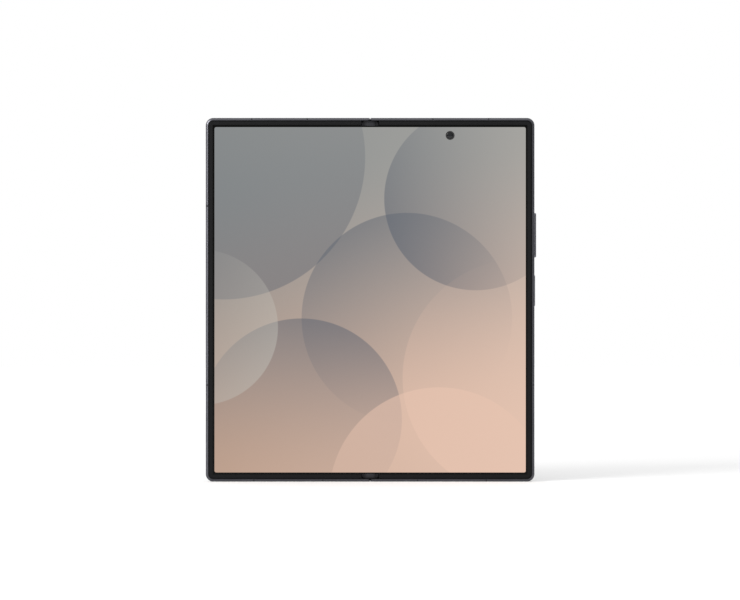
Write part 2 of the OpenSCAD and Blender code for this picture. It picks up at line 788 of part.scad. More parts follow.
// a key in the right edge, with rounded outer ends and an inner flange that keeps it in
module key(y, len, proud, r) {
    intersection() {
        stadium_x(half_w - flange_u0 - eps, half_w + proud, y, key_z, len, key_w);
        translate([half_w + proud - key_w, y, 0]) linear_extrude(half_t)
            soft_rect(2 * key_w, len, r);
    }
    box([half_w - flange_u0 - flange_t, half_w - flange_u0],
        [y - len / 2 - flange_over, y + len / 2 + flange_over], [key_z - key_w / 2, key_z + key_w / 2]);
}

module volume_key() {
    color("dimgray") upright() key(volume_y, volume_len, volume_proud, volume_round);
}

module side_key() {
    color("dimgray") upright() key(side_key_y, side_key_len, side_key_proud, side_key_round);
}

// a flex strip behind both keys, with a dome switch under each place that is pressed
module key_switches() {
    strip_x1 = half_w - switch_u0 - switch_t;
    color("darkgoldenrod") upright() {
        box([strip_x1 - switch_strip_t, strip_x1],
            [side_key_y - side_key_len / 2, volume_y + volume_len / 2],
            [key_z - switch_strip_in, mid_z0]);
        for (y = [side_key_y, volume_y - volume_len / 3, volume_y + volume_len / 3])
            box([strip_x1 - eps, half_w - switch_u0],
                [y - switch_size[0] / 2, y + switch_size[0] / 2],
                [key_z - switch_size[1] / 2, key_z + switch_size[1] / 2]);
    }
}

module usb_port() {
    color("silver") upright() difference() {
        stadium_y(usb_y0, usb_y0 + usb_len, usb_x, usb_z, usb_w + 2 * usb_wall, usb_h + 2 * usb_wall);
        stadium_y(usb_y0 - 1, usb_y0 + usb_len - usb_back_t, usb_x, usb_z, usb_w, usb_h);
    }
}

module usb_tongue() {
    color("black") upright() box([usb_x - tongue_w / 2, usb_x + tongue_w / 2],
        [usb_y0 + tongue_in, usb_y0 + usb_len - usb_back_t],
        [usb_z - tongue_t / 2, usb_z + tongue_t / 2]);
}

module card_tray() {
    tray_x0 = half_w - rim_w - tray_len;
    color("dimgray") upright() on_side(-1) {
        stadium_x(half_w - rim_w, half_w, tray_y, tray_z, tray_cap_len, tray_cap_h);
        difference() {
            box([tray_x0, half_w - rim_w + eps],
                [tray_y - tray_w / 2, tray_y + tray_w / 2], [tray_z - tray_t / 2, tray_z + tray_t / 2]);
            box([tray_x0 + tray_wall, tray_x0 + tray_wall + card_len],
                [tray_y - card_w / 2, tray_y + card_w / 2], [tray_z - tray_t, tray_z + tray_t]);
        }
    }
}

module card_socket() {
    room_x0 = half_w - rim_w - tray_len - cage_end_gap;
    room_y = tray_w / 2 + run_gap;
    room_z = tray_t / 2 + run_gap;
    color("silver") upright() on_side(-1) difference() {
        box([room_x0 - 2 * cage_end_gap, half_w - rim_w - cage_front],
            [tray_y - room_y - cage_wall, tray_y + room_y + cage_wall],
            [tray_z - room_z - tray_cage_t, mid_z0]);
        box([room_x0, half_w], [tray_y - room_y, tray_y + room_y], [tray_z - room_z, tray_z + room_z]);
    }
}

// ---- cameras ----

module inner_camera() {
    color("black") upright() translate([punch_x, body_h - punch_down, 0]) difference() {
        union() {
            translate([-camera_w / 2, -camera_w / 2, board_z0 - camera_t])
                cube([camera_w, camera_w, board_t + camera_t]);
            cylinder_from(mid_z0 - eps, display_z0, punch_d + 2 * collar_t);
            cylinder_from(display_z0 - eps, display_z1 - lens_drop, punch_d - 2 * set_gap);
        }
        cylinder_from(display_z1 - lens_sunk, half_t, punch_d - 2 * lens_lip);
    }
}

module inner_camera_lens() {
    color("darkblue") upright() translate([punch_x, body_h - punch_down, 0])
        cylinder_from(display_z1 - lens_sunk, display_z1 - lens_sunk + lens_t,
            punch_d - 2 * lens_lip - 2 * set_gap);
}

module cover_camera() {
    color("black") upright() on_side(-1) translate([cover_camera_x, cover_camera_y, 0]) {
        cylinder_from(cover_t, cover_t + cover_panel_t + eps, punch_d - 2 * set_gap);
        translate([-cover_camera_w / 2, -cover_camera_w / 2, cover_t + cover_panel_t])
            cube([cover_camera_w, cover_camera_w, mid_z0 - cover_t - cover_panel_t]);
    }
}

module camera_island() {
    color("dimgray") upright() difference() {
        translate([island_x, island_y1 - island_h / 2, -island_t]) {
            translate([0, 0, island_edge]) linear_extrude(island_t - island_edge)
                soft_rect(island_w, island_h, island_w / 2 - eps);
            linear_extrude(island_edge + eps) soft_rect(island_w - 2 * island_edge,
                island_h - 2 * island_edge, island_w / 2 - island_edge - eps);
        }
        for (y = lens_ys) translate([island_x, y, 0]) cylinder_from(-half_t, half_t, lens_d - lens_rim);
        translate([flash_x, flash_y, 0]) cylinder_from(-half_t, half_t, flash_d + 2 * set_gap);
    }
}

module lens_rings() {
    color("gray") upright() for (y = lens_ys) translate([island_x, y, 0]) difference() {
        union() {
            cylinder_from(-island_t - lens_ring_t + island_edge, -island_t, lens_d);
            cylinder_from(-island_t - lens_ring_t, -island_t, lens_d - 2 * island_edge);
            cylinder_from(-island_t - eps, 0, lens_d - lens_rim - 2 * set_gap);
        }
        cylinder_from(-half_t, lens_glass_z + lens_glass_t, lens_d - lens_rim);
        cylinder_from(-half_t, half_t, module_w - lens_rim);
    }
}

module lens_glasses() {
    color("black") upright() for (y = lens_ys) translate([island_x, y, 0])
        cylinder_from(lens_glass_z, lens_glass_z + lens_glass_t, lens_d - lens_rim - 2 * set_gap);
}

module camera_modules() {
    color("darkgray") upright() for (y = lens_ys) translate([island_x, y, 0]) {
        cylinder_from(lens_glass_z + lens_glass_t, cavity_z0 + set_gap,
            module_w - lens_rim - 2 * set_gap);
        translate([-module_w / 2, -module_w / 2, cavity_z0])
            cube([module_w, module_w, mid_z0 - cavity_z0]);
    }
}

module flash_window() {
    color("lightyellow") upright() translate([flash_x, flash_y, 0])
        cylinder_from(-island_t + set_gap, 0, flash_d);
}

// ---- batteries, boards and transducers ----

// a battery between two heights y of its half
module battery(y) {
    translate([(battery_x0 + battery_x1) / 2, (y[0] + y[1]) / 2, battery_z0])
        linear_extrude(battery_t) soft_rect(battery_x1 - battery_x0, y[1] - y[0], battery_round);
}

module battery_right() {
    color("black") upright() battery([battery_y0, battery_y1]);
}

module battery_left() {
    color("black") upright() on_side(-1) battery([left_battery_y0, left_battery_y1]);
}

module main_board() {
    cut = camera_w / 2 + camera_cut;
    color("darkgreen") upright() difference() {
        box([battery_x0, board_x1], [board_y0, board_y1], [board_z0, mid_z0]);
        box([punch_x - cut, punch_x + cut], [body_h - punch_down - cut, body_h], [0, half_t]);
        for (p = board_screw_places()) translate([p[0], p[1], 0])
            cylinder(d = screw_d + 2 * set_gap, h = half_t);
    }
}

function board_screw_places() = [
    [battery_x0 + screw_in, board_y0 + screw_in], [board_x1 - screw_in, board_y0 + screw_in],
    [battery_x0 + screw_in, board_y1 - screw_in], [battery_x0 + screw_in, (board_y0 + board_y1) / 2]];

module board_screws() {
    color("silver") upright() for (p = board_screw_places()) translate([p[0], p[1], 0]) {
        cylinder_from(board_z0, mid_z0, screw_d);
        cylinder_from(board_z0 - screw_head_t, board_z0, screw_head_d);
    }
}

// three cans, each a step narrower than the one below
module shield_cans() {
    w = board_x1 - battery_x0 - can_left - can_right;
    h = (board_y1 - board_y0 - can_bottom - can_top - 2 * can_gap) / 3;
    color("lightgray") upright() for (k = [0:2])
        translate([battery_x0 + can_left + w / 2, board_y0 + can_bottom + h / 2 + k * (h + can_gap),
            board_z0 - shield_t])
            linear_extrude(shield_t) soft_rect(w - k * can_step, h, can_round);
}

module lower_board() {
    color("darkgreen") upright() box([usb_x - lower_board_w / 2, usb_x + lower_board_w / 2],
        [usb_y0 + usb_len, lower_y1], [board_z0, mid_z0]);
}

module sub_board() {
    color("darkgreen") upright() on_side(-1) box([battery_x0, cavity_x1 - sub_board_side],
        [sub_board_y0, sub_board_y1], [board_z0, mid_z0]);
}

// a module that fills the height between the ledges and the plate, between corners a and b
module block(a, b) {
    translate([(a[0] + b[0]) / 2, (a[1] + b[1]) / 2, ledge_z1]) linear_extrude(mid_z0 - ledge_z1)
        soft_rect(b[0] - a[0], b[1] - a[1], battery_round);
}

module loudspeaker() {
    color("black") upright() block([speaker_x0, rim_w + ledge_w + set_gap],
        [speaker_mid_x + speaker_w / 2, lower_y1]);
}

module earpiece() {
    color("black") upright() on_side(-1) block([earpiece_mid_x - speaker_w / 2, earpiece_y1 - earpiece_h],
        [earpiece_mid_x + speaker_w / 2, earpiece_y1]);
}

module vibration_motor() {
    x = cavity_x0 + inner_gap;
    y = lower_y1 - 2 * inner_gap;
    color("silver") upright() block([x, y - motor_size[1]], [x + motor_size[0], y]);
}

module charging_coil() {
    color("peru") upright()
        translate([(battery_x0 + battery_x1) / 2, (battery_y0 + battery_y1) / 2, 0]) difference() {
            cylinder_from(battery_z0 - coil_t, battery_z0, coil_d);
            cylinder_from(battery_z0 - 2 * coil_t, battery_z0 + coil_t, coil_d / 2);
        }
}

frame_right();
frame_left();
antenna_breaks(1);  // antenna_breaks_right
antenna_breaks(-1);  // antenna_breaks_left
back_glass_right();
cover_glass_left();
cover_panel_left();
display_half(1);  // display_right
display_half(-1);  // display_left
display_fold();
bezel(1);  // bezel_right
bezel(-1);  // bezel_left
spine_shell();
hinge_brackets();
hinge_pins();
arms(1);  // arms_right
arms(-1);  // arms_left
gear_idler(1);  // gear_idler_right
gear_idler(-1);  // gear_idler_left
fold_support();
end_cap_top();
end_cap_bottom();
wing(1);  // wing_right
wing(-1);  // wing_left
wing_pins(1);  // wing_pins_right
wing_pins(-1);  // wing_pins_left
arm_screws(1);  // arm_screws_right
arm_screws(-1);  // arm_screws_left
volume_key();
side_key();
key_switches();
usb_port();
usb_tongue();
card_tray();
card_socket();
inner_camera();
inner_camera_lens();
cover_camera();
camera_island();
lens_rings();
lens_glasses();
camera_modules();
flash_window();
battery_right();
battery_left();
main_board();
shield_cans();
lower_board();
sub_board();
loudspeaker();
earpiece();
vibration_motor();
charging_coil();
board_screws();
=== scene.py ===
# Foldable smartphone, open and upright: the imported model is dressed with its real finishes, and
# the folding display, the hinge's end covers, the lenses and their barrels, the port's contacts
# and the speaker meshes are built here as surfaces of their own.
import math

import bpy
import numpy as np
from mathutils.geometry import tessellate_polygon
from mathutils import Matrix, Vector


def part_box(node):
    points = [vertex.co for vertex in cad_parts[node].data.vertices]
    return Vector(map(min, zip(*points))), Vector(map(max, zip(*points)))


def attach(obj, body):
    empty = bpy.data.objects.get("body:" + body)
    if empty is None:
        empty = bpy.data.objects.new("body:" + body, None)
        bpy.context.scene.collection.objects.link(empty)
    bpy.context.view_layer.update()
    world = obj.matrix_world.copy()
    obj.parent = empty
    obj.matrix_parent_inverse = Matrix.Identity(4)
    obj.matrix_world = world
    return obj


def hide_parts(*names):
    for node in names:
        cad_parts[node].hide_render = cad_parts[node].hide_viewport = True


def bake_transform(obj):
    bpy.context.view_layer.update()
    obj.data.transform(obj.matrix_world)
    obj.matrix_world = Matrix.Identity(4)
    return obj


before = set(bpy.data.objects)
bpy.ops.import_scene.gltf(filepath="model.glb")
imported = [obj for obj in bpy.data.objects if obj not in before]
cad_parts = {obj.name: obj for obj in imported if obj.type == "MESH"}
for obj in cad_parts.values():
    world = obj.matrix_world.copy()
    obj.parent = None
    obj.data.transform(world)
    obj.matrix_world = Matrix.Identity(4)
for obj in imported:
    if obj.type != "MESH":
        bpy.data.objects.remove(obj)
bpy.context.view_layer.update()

# ---- The studio ----
# A long lens looks straight at the open screen, as in the photograph. The phone stands on a
# white floor, under a white sky that shines more from above and from the left, and one broad
# lamp at the upper left throws its soft shadow.
MM = 0.001


def srgb(r, g, b):
    """The scene-linear colour of an 8-bit screen colour, by the sRGB curve."""
    def one(c):
        c = c / 255
        return c / 12.92 if c <= 0.04045 else ((c + 0.055) / 1.055) ** 2.4
    return (one(r), one(g), one(b), 1.0)


def add_node(tree, kind, inputs=None, **settings):
    """One shader node; inputs holds a number, a colour or another node's output by socket."""
    made = tree.nodes.new("ShaderNode" + kind)
    for key, value in settings.items():
        setattr(made, key, value)
    for key, value in (inputs or {}).items():
        if isinstance(value, bpy.types.NodeSocket):
            tree.links.new(value, made.inputs[key])
        else:
            made.inputs[key].default_value = value
    return made


def on_object(tree):
    """The object's own coordinates in metres, for a pattern that stays with the surface."""
    return add_node(tree, "TexCoord").outputs["Object"]


camera_data = bpy.data.cameras.new("photo_camera")
camera_data.sensor_width = 36
camera_data.lens = 200
camera_data.clip_end = 20
seen_width = 322.65 * MM  # the picture's width at the screen
aim_x, aim_z = -0.05 * MM, 79.1 * MM
camera = bpy.data.objects.new("photo_camera", camera_data)
camera.location = (aim_x, -camera_data.lens * seen_width / camera_data.sensor_width, aim_z)
camera.rotation_euler = (math.pi / 2, 0, 0)
bpy.context.scene.collection.objects.link(camera)
bpy.context.scene.camera = camera
bpy.context.scene.view_settings.view_transform = "Standard"

sky = bpy.data.worlds.new("white_studio")
sky.use_nodes = True
bpy.context.scene.world = sky
tree = sky.node_tree
tree.nodes.clear()
path = add_node(tree, "LightPath")
way = add_node(tree, "TexCoord").outputs["Generated"]
# plain white for the lens, through glass, and in what mirrors the far side
ahead = add_node(tree, "SeparateXYZ", {0: way})
far_side = add_node(tree, "MapRange", {"Value": ahead.outputs["Y"], "From Min": 0.0,
                                       "From Max": 0.6})
mirrored = add_node(tree, "Math", {0: path.outputs["Is Glossy Ray"],
                                   1: far_side.outputs[0]}, operation="MULTIPLY")
plain = add_node(tree, "Math", {0: path.outputs["Is Camera Ray"], 1: mirrored.outputs[0]},
                 operation="ADD")
plain = add_node(tree, "Math", {0: plain.outputs[0], 1: path.outputs["Is Transmission Ray"]},
                 operation="ADD", use_clamp=True)
# elsewhere the light grows along one slanting direction
sky_lean = (-0.34, 0.22, 0.9)
lean = add_node(tree, "VectorMath", {0: way, 1: sky_lean}, operation="DOT_PRODUCT")
graded = add_node(tree, "MapRange", {"Value": lean.outputs["Value"], "From Min": -0.5,
                                     "From Max": 0.75, "To Min": 0.24, "To Max": 1.0},
                  interpolation_type="SMOOTHSTEP")
power = add_node(tree, "Mix", {"Factor": plain.outputs[0], "A": graded.outputs[0], "B": 1.0})
light = add_node(tree, "Background", {"Color": (1, 1, 1, 1),
                                      "Strength": power.outputs["Result"]})
add_node(tree, "OutputWorld", {"Surface": light.outputs[0]})

lamp_data = bpy.data.lights.new("soft_lamp", "AREA")
lamp_data.shape = "DISK"
lamp_data.size = 1.1
lamp_data.energy = 30
lamp = bpy.data.objects.new("soft_lamp", lamp_data)
lamp.location = (-1.3, -1.5, 0.9)
lamp.rotation_euler = (math.radians(68), 0, math.radians(-41))
bpy.context.scene.collection.objects.link(lamp)

floor_mesh = bpy.data.meshes.new("floor")
reach = 3.0
floor_mesh.from_pydata([(-reach, -reach, 0), (reach, -reach, 0), (reach, reach, 0),
                        (-reach, reach, 0)], [], [(0, 1, 2, 3)])
floor = bpy.data.objects.new("floor", floor_mesh)
bpy.context.scene.collection.objects.link(floor)
paper = bpy.data.materials.new("white_paper")
paper.use_nodes = True
tree = paper.node_tree
tree.nodes.clear()
place = on_object(tree)
fibre = add_node(tree, "TexNoise", {"Vector": place, "Scale": 900.0, "Detail": 3.0})
tone = add_node(tree, "MapRange", {"Value": fibre.outputs["Fac"], "To Min": 0.78,
                                   "To Max": 0.8})
matt = add_node(tree, "BsdfDiffuse", {"Color": tone.outputs["Result"]})
# a little glow, for the lens alone, keeps the floor as white as the sky out to its far edge
outward = add_node(tree, "VectorMath", {0: place}, operation="LENGTH")
fill = add_node(tree, "MapRange", {"Value": outward.outputs["Value"], "From Min": 0.4,
                                   "From Max": 1.4, "To Min": 0.2, "To Max": 0.34})
glow = add_node(tree, "Emission", {"Strength": fill.outputs[0]})
both = add_node(tree, "AddShader", {0: matt.outputs[0], 1: glow.outputs[0]})
path = add_node(tree, "LightPath")
pick = add_node(tree, "MixShader", {0: path.outputs["Is Camera Ray"], 1: matt.outputs[0],
                                    2: both.outputs[0]})
add_node(tree, "OutputMaterial", {"Surface": pick.outputs[0]})
floor_mesh.materials.append(paper)

# ---- Metal frames, keys and card tray ----
# Each half is one machined aluminium frame, bead-blasted and anodised graphite. Its colour
# carries a painted highlight on the rounded edges and towards the rim's outline. The keys and the
# tray's cap are cut from the same metal.
OPEN_W, BODY_H, CORNER_R = 143.2, 158.4, 3.3
RIM_W, RIM_FALL = 1.15, 0.55


def new_finish(name, colour, roughness, metallic=0.0, **sockets):
    """A material with one Principled shader: returns it, its tree and the shader."""
    made = bpy.data.materials.new(name)
    made.use_nodes = True
    made.node_tree.nodes.clear()
    shader = add_node(made.node_tree, "BsdfPrincipled", {
        "Base Color": colour, "Roughness": roughness, "Metallic": metallic, **sockets})
    add_node(made.node_tree, "OutputMaterial", {"Surface": shader.outputs[0]})
    return made, made.node_tree, shader


def grain(tree, shader, size, depth, rough, detail=4.0, stretch=(1, 1, 1)):
    """Fine surface grain: one noise of the given size in metres, on the object's own
    coordinates, moves the surface by depth and the roughness over the pair rough."""
    scaled = add_node(tree, "Mapping", {"Vector": on_object(tree), "Scale": stretch})
    noise = add_node(tree, "TexNoise", {"Vector": scaled.outputs[0], "Scale": 1 / size,
                                        "Detail": detail})
    ranged = add_node(tree, "MapRange", {"Value": noise.outputs["Fac"], "From Min": 0.3,
                                         "From Max": 0.7, "To Min": rough[0],
                                         "To Max": rough[1]})
    bump = add_node(tree, "Bump", {"Height": noise.outputs["Fac"], "Distance": depth})
    tree.links.new(ranged.outputs["Result"], shader.inputs["Roughness"])
    tree.links.new(bump.outputs[0], shader.inputs["Normal"])
    return noise


def shades(tree, shader, factor, low, high):
    """The base colour runs between two colours with factor."""
    mix = add_node(tree, "Mix", {"Factor": factor, "A": low, "B": high}, data_type="RGBA")
    tree.links.new(mix.outputs["Result"], shader.inputs["Base Color"])
    return mix


def mottled(name, low, high, rough, size, depth, metallic=0.0, stretch=(1, 1, 1), **sockets):
    """A finish with grain whose colour runs between two tones with that same grain."""
    made, tree, shader = new_finish(name, low, rough[0], metallic, **sockets)
    noise = grain(tree, shader, size, depth, rough, stretch=stretch)
    shades(tree, shader, noise.outputs["Fac"], low, high)
    return made


def dress(material, *names):
    """Gives a CAD node's every slot the material."""
    for name in names:
        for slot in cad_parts[name].material_slots:
            slot.material = material


def edge_highlight_share(tree):
    """How much a face leans between front and side, which is where the painted edge highlight
    goes: 1 on rounded edges and 0 on flat faces, from the size of the normal's y."""
    normal = add_node(tree, "NewGeometry")
    parts = add_node(tree, "SeparateXYZ", {0: normal.outputs["Normal"]})
    size = add_node(tree, "Math", {0: parts.outputs["Y"]}, operation="ABSOLUTE")
    rise = add_node(tree, "MapRange", {"Value": size.outputs[0], "From Min": 0.1,
                                       "From Max": 0.45}, interpolation_type="SMOOTHSTEP")
    fall = add_node(tree, "MapRange", {"Value": size.outputs[0], "From Min": 0.86,
                                       "From Max": 0.99, "To Min": 1.0, "To Max": 0.0},
                    interpolation_type="SMOOTHSTEP")
    return add_node(tree, "Math", {0: rise.outputs[0], 1: fall.outputs[0]},
                    operation="MULTIPLY").outputs[0]


def anodised(name, flat, edge, rough):
    """Blasted and anodised aluminium: a 0.12 mm grain, slow tone changes over centimetres, and
    a painted highlight, a brighter tone on the rounded edges."""
    made, tree, shader = new_finish(name, flat, rough, 1.0, **{"Specular IOR Level": 0.1})
    grain(tree, shader, 0.12 * MM, 0.0014 * MM, (rough - 0.05, rough + 0.08))
    slow = add_node(tree, "TexNoise", {"Vector": on_object(tree), "Scale": 45.0,
                                       "Detail": 2.0})
    worn = add_node(tree, "MapRange", {"Value": slow.outputs["Fac"], "From Min": 0.35,
                                       "From Max": 0.65, "To Min": 0.93, "To Max": 1.07})
    # painted highlight: the colour runs to the brighter edge tone where the face leans
    mix = shades(tree, shader, edge_highlight_share(tree), flat, edge)
    toned = add_node(tree, "VectorMath", {0: mix.outputs["Result"]}, operation="SCALE")
    tree.links.new(worn.outputs[0], toned.inputs["Scale"])
    tree.links.new(toned.outputs[0], shader.inputs["Base Color"])
    return made


def over_box(tree, point, middle, half):
    """How far a point lies past the sides of a box, as a length: 0 inside it, and round its
    corners the length of max(|point - middle| - half, 0)."""
    centred = add_node(tree, "VectorMath", {0: point, 1: middle}, operation="SUBTRACT")
    sized = add_node(tree, "VectorMath", {0: centred.outputs[0]}, operation="ABSOLUTE")
    past = add_node(tree, "VectorMath", {0: sized.outputs[0], 1: half}, operation="SUBTRACT")
    past = add_node(tree, "VectorMath", {0: past.outputs[0], 1: (0, 0, 0)},
                    operation="MAXIMUM")
    return add_node(tree, "VectorMath", {0: past.outputs[0]},
                    operation="LENGTH").outputs["Value"]


def crown(material, width, depth):
    """The rim's front and back are domed: within width of the outline, a rounded rectangle,
    the surface falls by depth * t^2, where t runs from 0 at the rim's inside to 1. Over that
    width a painted highlight scales the colour up towards the outline. The groove inside the
    rim's front holds a dull black gasket, whose dark colour is also painted shade for the groove."""
    tree = material.node_tree
    shader = tree.nodes["Principled BSDF"]
    place = on_object(tree)
    away = over_box(tree, place, (0, 0, BODY_H / 2 * MM),
                    ((OPEN_W / 2 - CORNER_R) * MM, 1.0, (BODY_H / 2 - CORNER_R) * MM))
    share = add_node(tree, "MapRange", {"Value": away, "From Min": (CORNER_R - width) * MM,
                                        "From Max": CORNER_R * MM})
    fall = add_node(tree, "Math", {0: share.outputs[0], 1: share.outputs[0]},
                    operation="MULTIPLY")
    before = shader.inputs["Normal"].links[0].from_socket
    bump = add_node(tree, "Bump", {"Height": fall.outputs[0], "Distance": depth * MM,
                                   "Normal": before}, invert=True)
    tree.links.new(bump.outputs[0], shader.inputs["Normal"])
    # painted shade: in front and inside the rim, the groove is a dull black non-metal that stands
    # in for its shade
    parts = add_node(tree, "SeparateXYZ", {0: place})
    outer = add_node(tree, "MapRange", {"Value": away,
                                        "From Min": (CORNER_R - width - 0.03) * MM,
                                        "From Max": (CORNER_R - width) * MM})
    behind = add_node(tree, "Math", {0: parts.outputs["Y"], 1: -1.0 * MM},
                      operation="GREATER_THAN")
    metal = add_node(tree, "Math", {0: outer.outputs[0], 1: behind.outputs[0]},
                     operation="MAXIMUM")
    toned = shader.inputs["Base Color"].links[0].from_socket
    # painted highlight: the colour is scaled from 0.5 at the rim's inside up to 1.3 towards the
    # outline
    rim_highlight = add_node(tree, "MapRange", {"Value": share.outputs[0], "From Min": 0.0,
                                         "From Max": 0.5, "To Min": 0.5, "To Max": 1.3},
                      interpolation_type="SMOOTHSTEP")
    rim_highlighted = add_node(tree, "VectorMath", {0: toned}, operation="SCALE")
    tree.links.new(rim_highlight.outputs[0], rim_highlighted.inputs["Scale"])
    shades(tree, shader, metal.outputs[0], srgb(12, 12, 13), rim_highlighted.outputs[0])
    tree.links.new(metal.outputs[0], shader.inputs["Metallic"])


graphite = anodised("graphite_frame", srgb(90, 90, 95), srgb(98, 98, 104), 0.32)
crown(graphite, RIM_W, RIM_FALL)
dress(graphite, "frame_right", "frame_left", "card_tray")
key_metal = anodised("graphite_keys", srgb(112, 112, 118), srgb(140, 140, 147), 0.28)
dress(key_metal, "volume_key", "side_key")

# ---- Antenna breaks ----
# Strips of glass-filled plastic, moulded into the frame's cuts and machined flush with it.
# They take the frame's dye a shade darker and stay duller than the metal.
breaks = mottled("antenna_plastic", srgb(46, 46, 50), srgb(58, 58, 62), (0.46, 0.6), 0.2 * MM,
                 0.003 * MM, **{"Specular IOR Level": 0.2})
dress(breaks, "antenna_breaks_right", "antenna_breaks_left")

# ---- Back glass ----
# Frosted glass over a dark film, glued into the right half. The etched outer face scatters
# light softly, with a fine sparkle of its own grain.
frosted, tree, shader = new_finish("frosted_back", srgb(58, 60, 66), 0.42,
                                   **{"Specular IOR Level": 0.45, "Coat Weight": 0.12,
                                      "Coat Roughness": 0.3})
grain(tree, shader, 0.09 * MM, 0.0025 * MM, (0.38, 0.5), detail=6.0)
slow = add_node(tree, "TexNoise", {"Vector": on_object(tree), "Scale": 30.0, "Detail": 3.0})
shades(tree, shader, slow.outputs["Fac"], srgb(54, 56, 62), srgb(63, 65, 71))
dress(frosted, "back_glass_right")

# ---- Cover screen ----
# Polished glass glued into the left half over its own panel, here switched off. The lit area
# shows a shade lighter inside its black border, with a round camera window near the top.
cover_y, cover_mid = 2.1 * MM, 36.6 * MM
window_x, window_z = 35.8 * MM, 147.2 * MM
black_glass, tree, shader = new_finish("cover_screen_glass", srgb(10, 10, 12), 0.05,
                                       **{"Specular IOR Level": 0.5})
place = on_object(tree)
past = over_box(tree, place, (-cover_mid, 0, BODY_H / 2 * MM), (28.5 * MM, 1.0, 72.0 * MM))
panel = add_node(tree, "MapRange", {"Value": past, "From Min": 2.9 * MM, "From Max": 3.1 * MM,
                                    "To Min": 1.0, "To Max": 0.0})
from_window = add_node(tree, "VectorMath", {0: place, 1: (-window_x, cover_y, window_z)},
                       operation="DISTANCE")
window = add_node(tree, "MapRange", {"Value": from_window.outputs["Value"],
                                     "From Min": 1.85 * MM, "From Max": 1.95 * MM})
lit = add_node(tree, "Math", {0: panel.outputs[0], 1: window.outputs[0]}, operation="MULTIPLY")
shades(tree, shader, lit.outputs[0], srgb(7, 7, 8), srgb(19, 20, 23))
smear = add_node(tree, "TexNoise", {"Vector": place, "Scale": 60.0, "Detail": 5.0,
                                    "Distortion": 0.6})
wiped = add_node(tree, "MapRange", {"Value": smear.outputs["Fac"], "From Min": 0.4,
                                    "From Max": 0.75, "To Min": 0.04, "To Max": 0.11})
tree.links.new(wiped.outputs[0], shader.inputs["Roughness"])
dress(black_glass, "cover_glass_left")

panel_film = mottled("cover_panel_film", srgb(12, 13, 17), srgb(22, 23, 28), (0.25, 0.4),
                     0.5 * MM, 0.002 * MM)
dress(panel_film, "cover_panel_left")

# ---- Batteries, boards and modules inside ----
# Foil pouch cells, boards in green mask with gold pads, stamped shield cans, and the moulded
# loudspeaker, earpiece, buzzer and charging coil, glued or screwed to the inner plate.
foil = mottled("battery_foil", srgb(33, 33, 35), srgb(50, 50, 53), (0.3, 0.46), 2.2 * MM,
               0.02 * MM, metallic=0.3)
dress(foil, "battery_right", "battery_left")

mask, tree, shader = new_finish("board_mask", srgb(22, 78, 48), 0.35)
turned = add_node(tree, "Mapping", {"Vector": on_object(tree),
                                    "Rotation": (math.pi / 2, 0, 0)})
tracks = add_node(tree, "TexBrick", {"Vector": turned.outputs[0], "Scale": 420.0,
                                     "Color1": srgb(18, 72, 44), "Color2": srgb(28, 92, 56),
                                     "Mortar": srgb(150, 128, 66), "Mortar Size": 0.03})
tree.links.new(tracks.outputs["Color"], shader.inputs["Base Color"])
bump = add_node(tree, "Bump", {"Height": tracks.outputs["Fac"], "Distance": 0.01 * MM})
tree.links.new(bump.outputs[0], shader.inputs["Normal"])
dress(mask, "main_board", "lower_board", "sub_board")

cans = mottled("shield_cans", srgb(172, 170, 164), srgb(198, 196, 190), (0.26, 0.4), 0.3 * MM,
               0.006 * MM, metallic=1.0, stretch=(1, 1, 0.1))
dress(cans, "shield_cans", "vibration_motor")

moulded = mottled("black_moulding", srgb(23, 23, 25), srgb(34, 34, 36), (0.48, 0.66),
                  0.25 * MM, 0.006 * MM)
dress(moulded, "loudspeaker", "earpiece", "cover_camera", "inner_camera")

winding, tree, shader = new_finish("coil_winding", srgb(184, 112, 60), 0.35, 1.0)
coil_middle = (38.4 * MM, 0, 45 * MM)
centred = add_node(tree, "VectorMath", {0: on_object(tree), 1: coil_middle},
                   operation="SUBTRACT")
rings = add_node(tree, "TexWave", {"Vector": centred.outputs[0], "Scale": 900.0},
                 wave_type="RINGS", rings_direction="SPHERICAL")
bump = add_node(tree, "Bump", {"Height": rings.outputs["Fac"], "Distance": 0.05 * MM})
tree.links.new(bump.outputs[0], shader.inputs["Normal"])
shades(tree, shader, rings.outputs["Fac"], srgb(140, 80, 40), srgb(202, 130, 74))
dress(winding, "charging_coil")

flex = mottled("switch_flex", srgb(136, 92, 34), srgb(164, 116, 48), (0.36, 0.5), 0.4 * MM,
               0.004 * MM)
dress(flex, "key_switches")

# ---- Hinge ----
# A curved aluminium spine carries steel brackets and pins. Arms, brass idler gears and two thin
# wing plates turn on them, all ground bright and lightly oiled.
spine_metal = anodised("spine_metal", srgb(60, 60, 65), srgb(84, 84, 90), 0.3)
dress(spine_metal, "spine_shell")

steel = mottled("ground_steel", srgb(158, 158, 160), srgb(192, 192, 194), (0.22, 0.38),
                0.05 * MM, 0.003 * MM, metallic=1.0, stretch=(1, 1, 0.06), Anisotropic=0.4)
dress(steel, "hinge_brackets", "hinge_pins", "arms_right", "arms_left", "fold_support",
      "wing_right", "wing_left", "wing_pins_right", "wing_pins_left", "arm_screws_right",
      "arm_screws_left", "board_screws")

brass = mottled("gear_brass", srgb(182, 146, 78), srgb(214, 178, 104), (0.24, 0.38),
                0.08 * MM, 0.002 * MM, metallic=1.0)
dress(brass, "gear_idler_right", "gear_idler_left")


# ---- Covers at the hinge's two ends ----
# Glossy moulded caps that close the gap between the two bezels. Each has a low barrel in its
# middle, two flat ears, and a round relief in each outer corner.


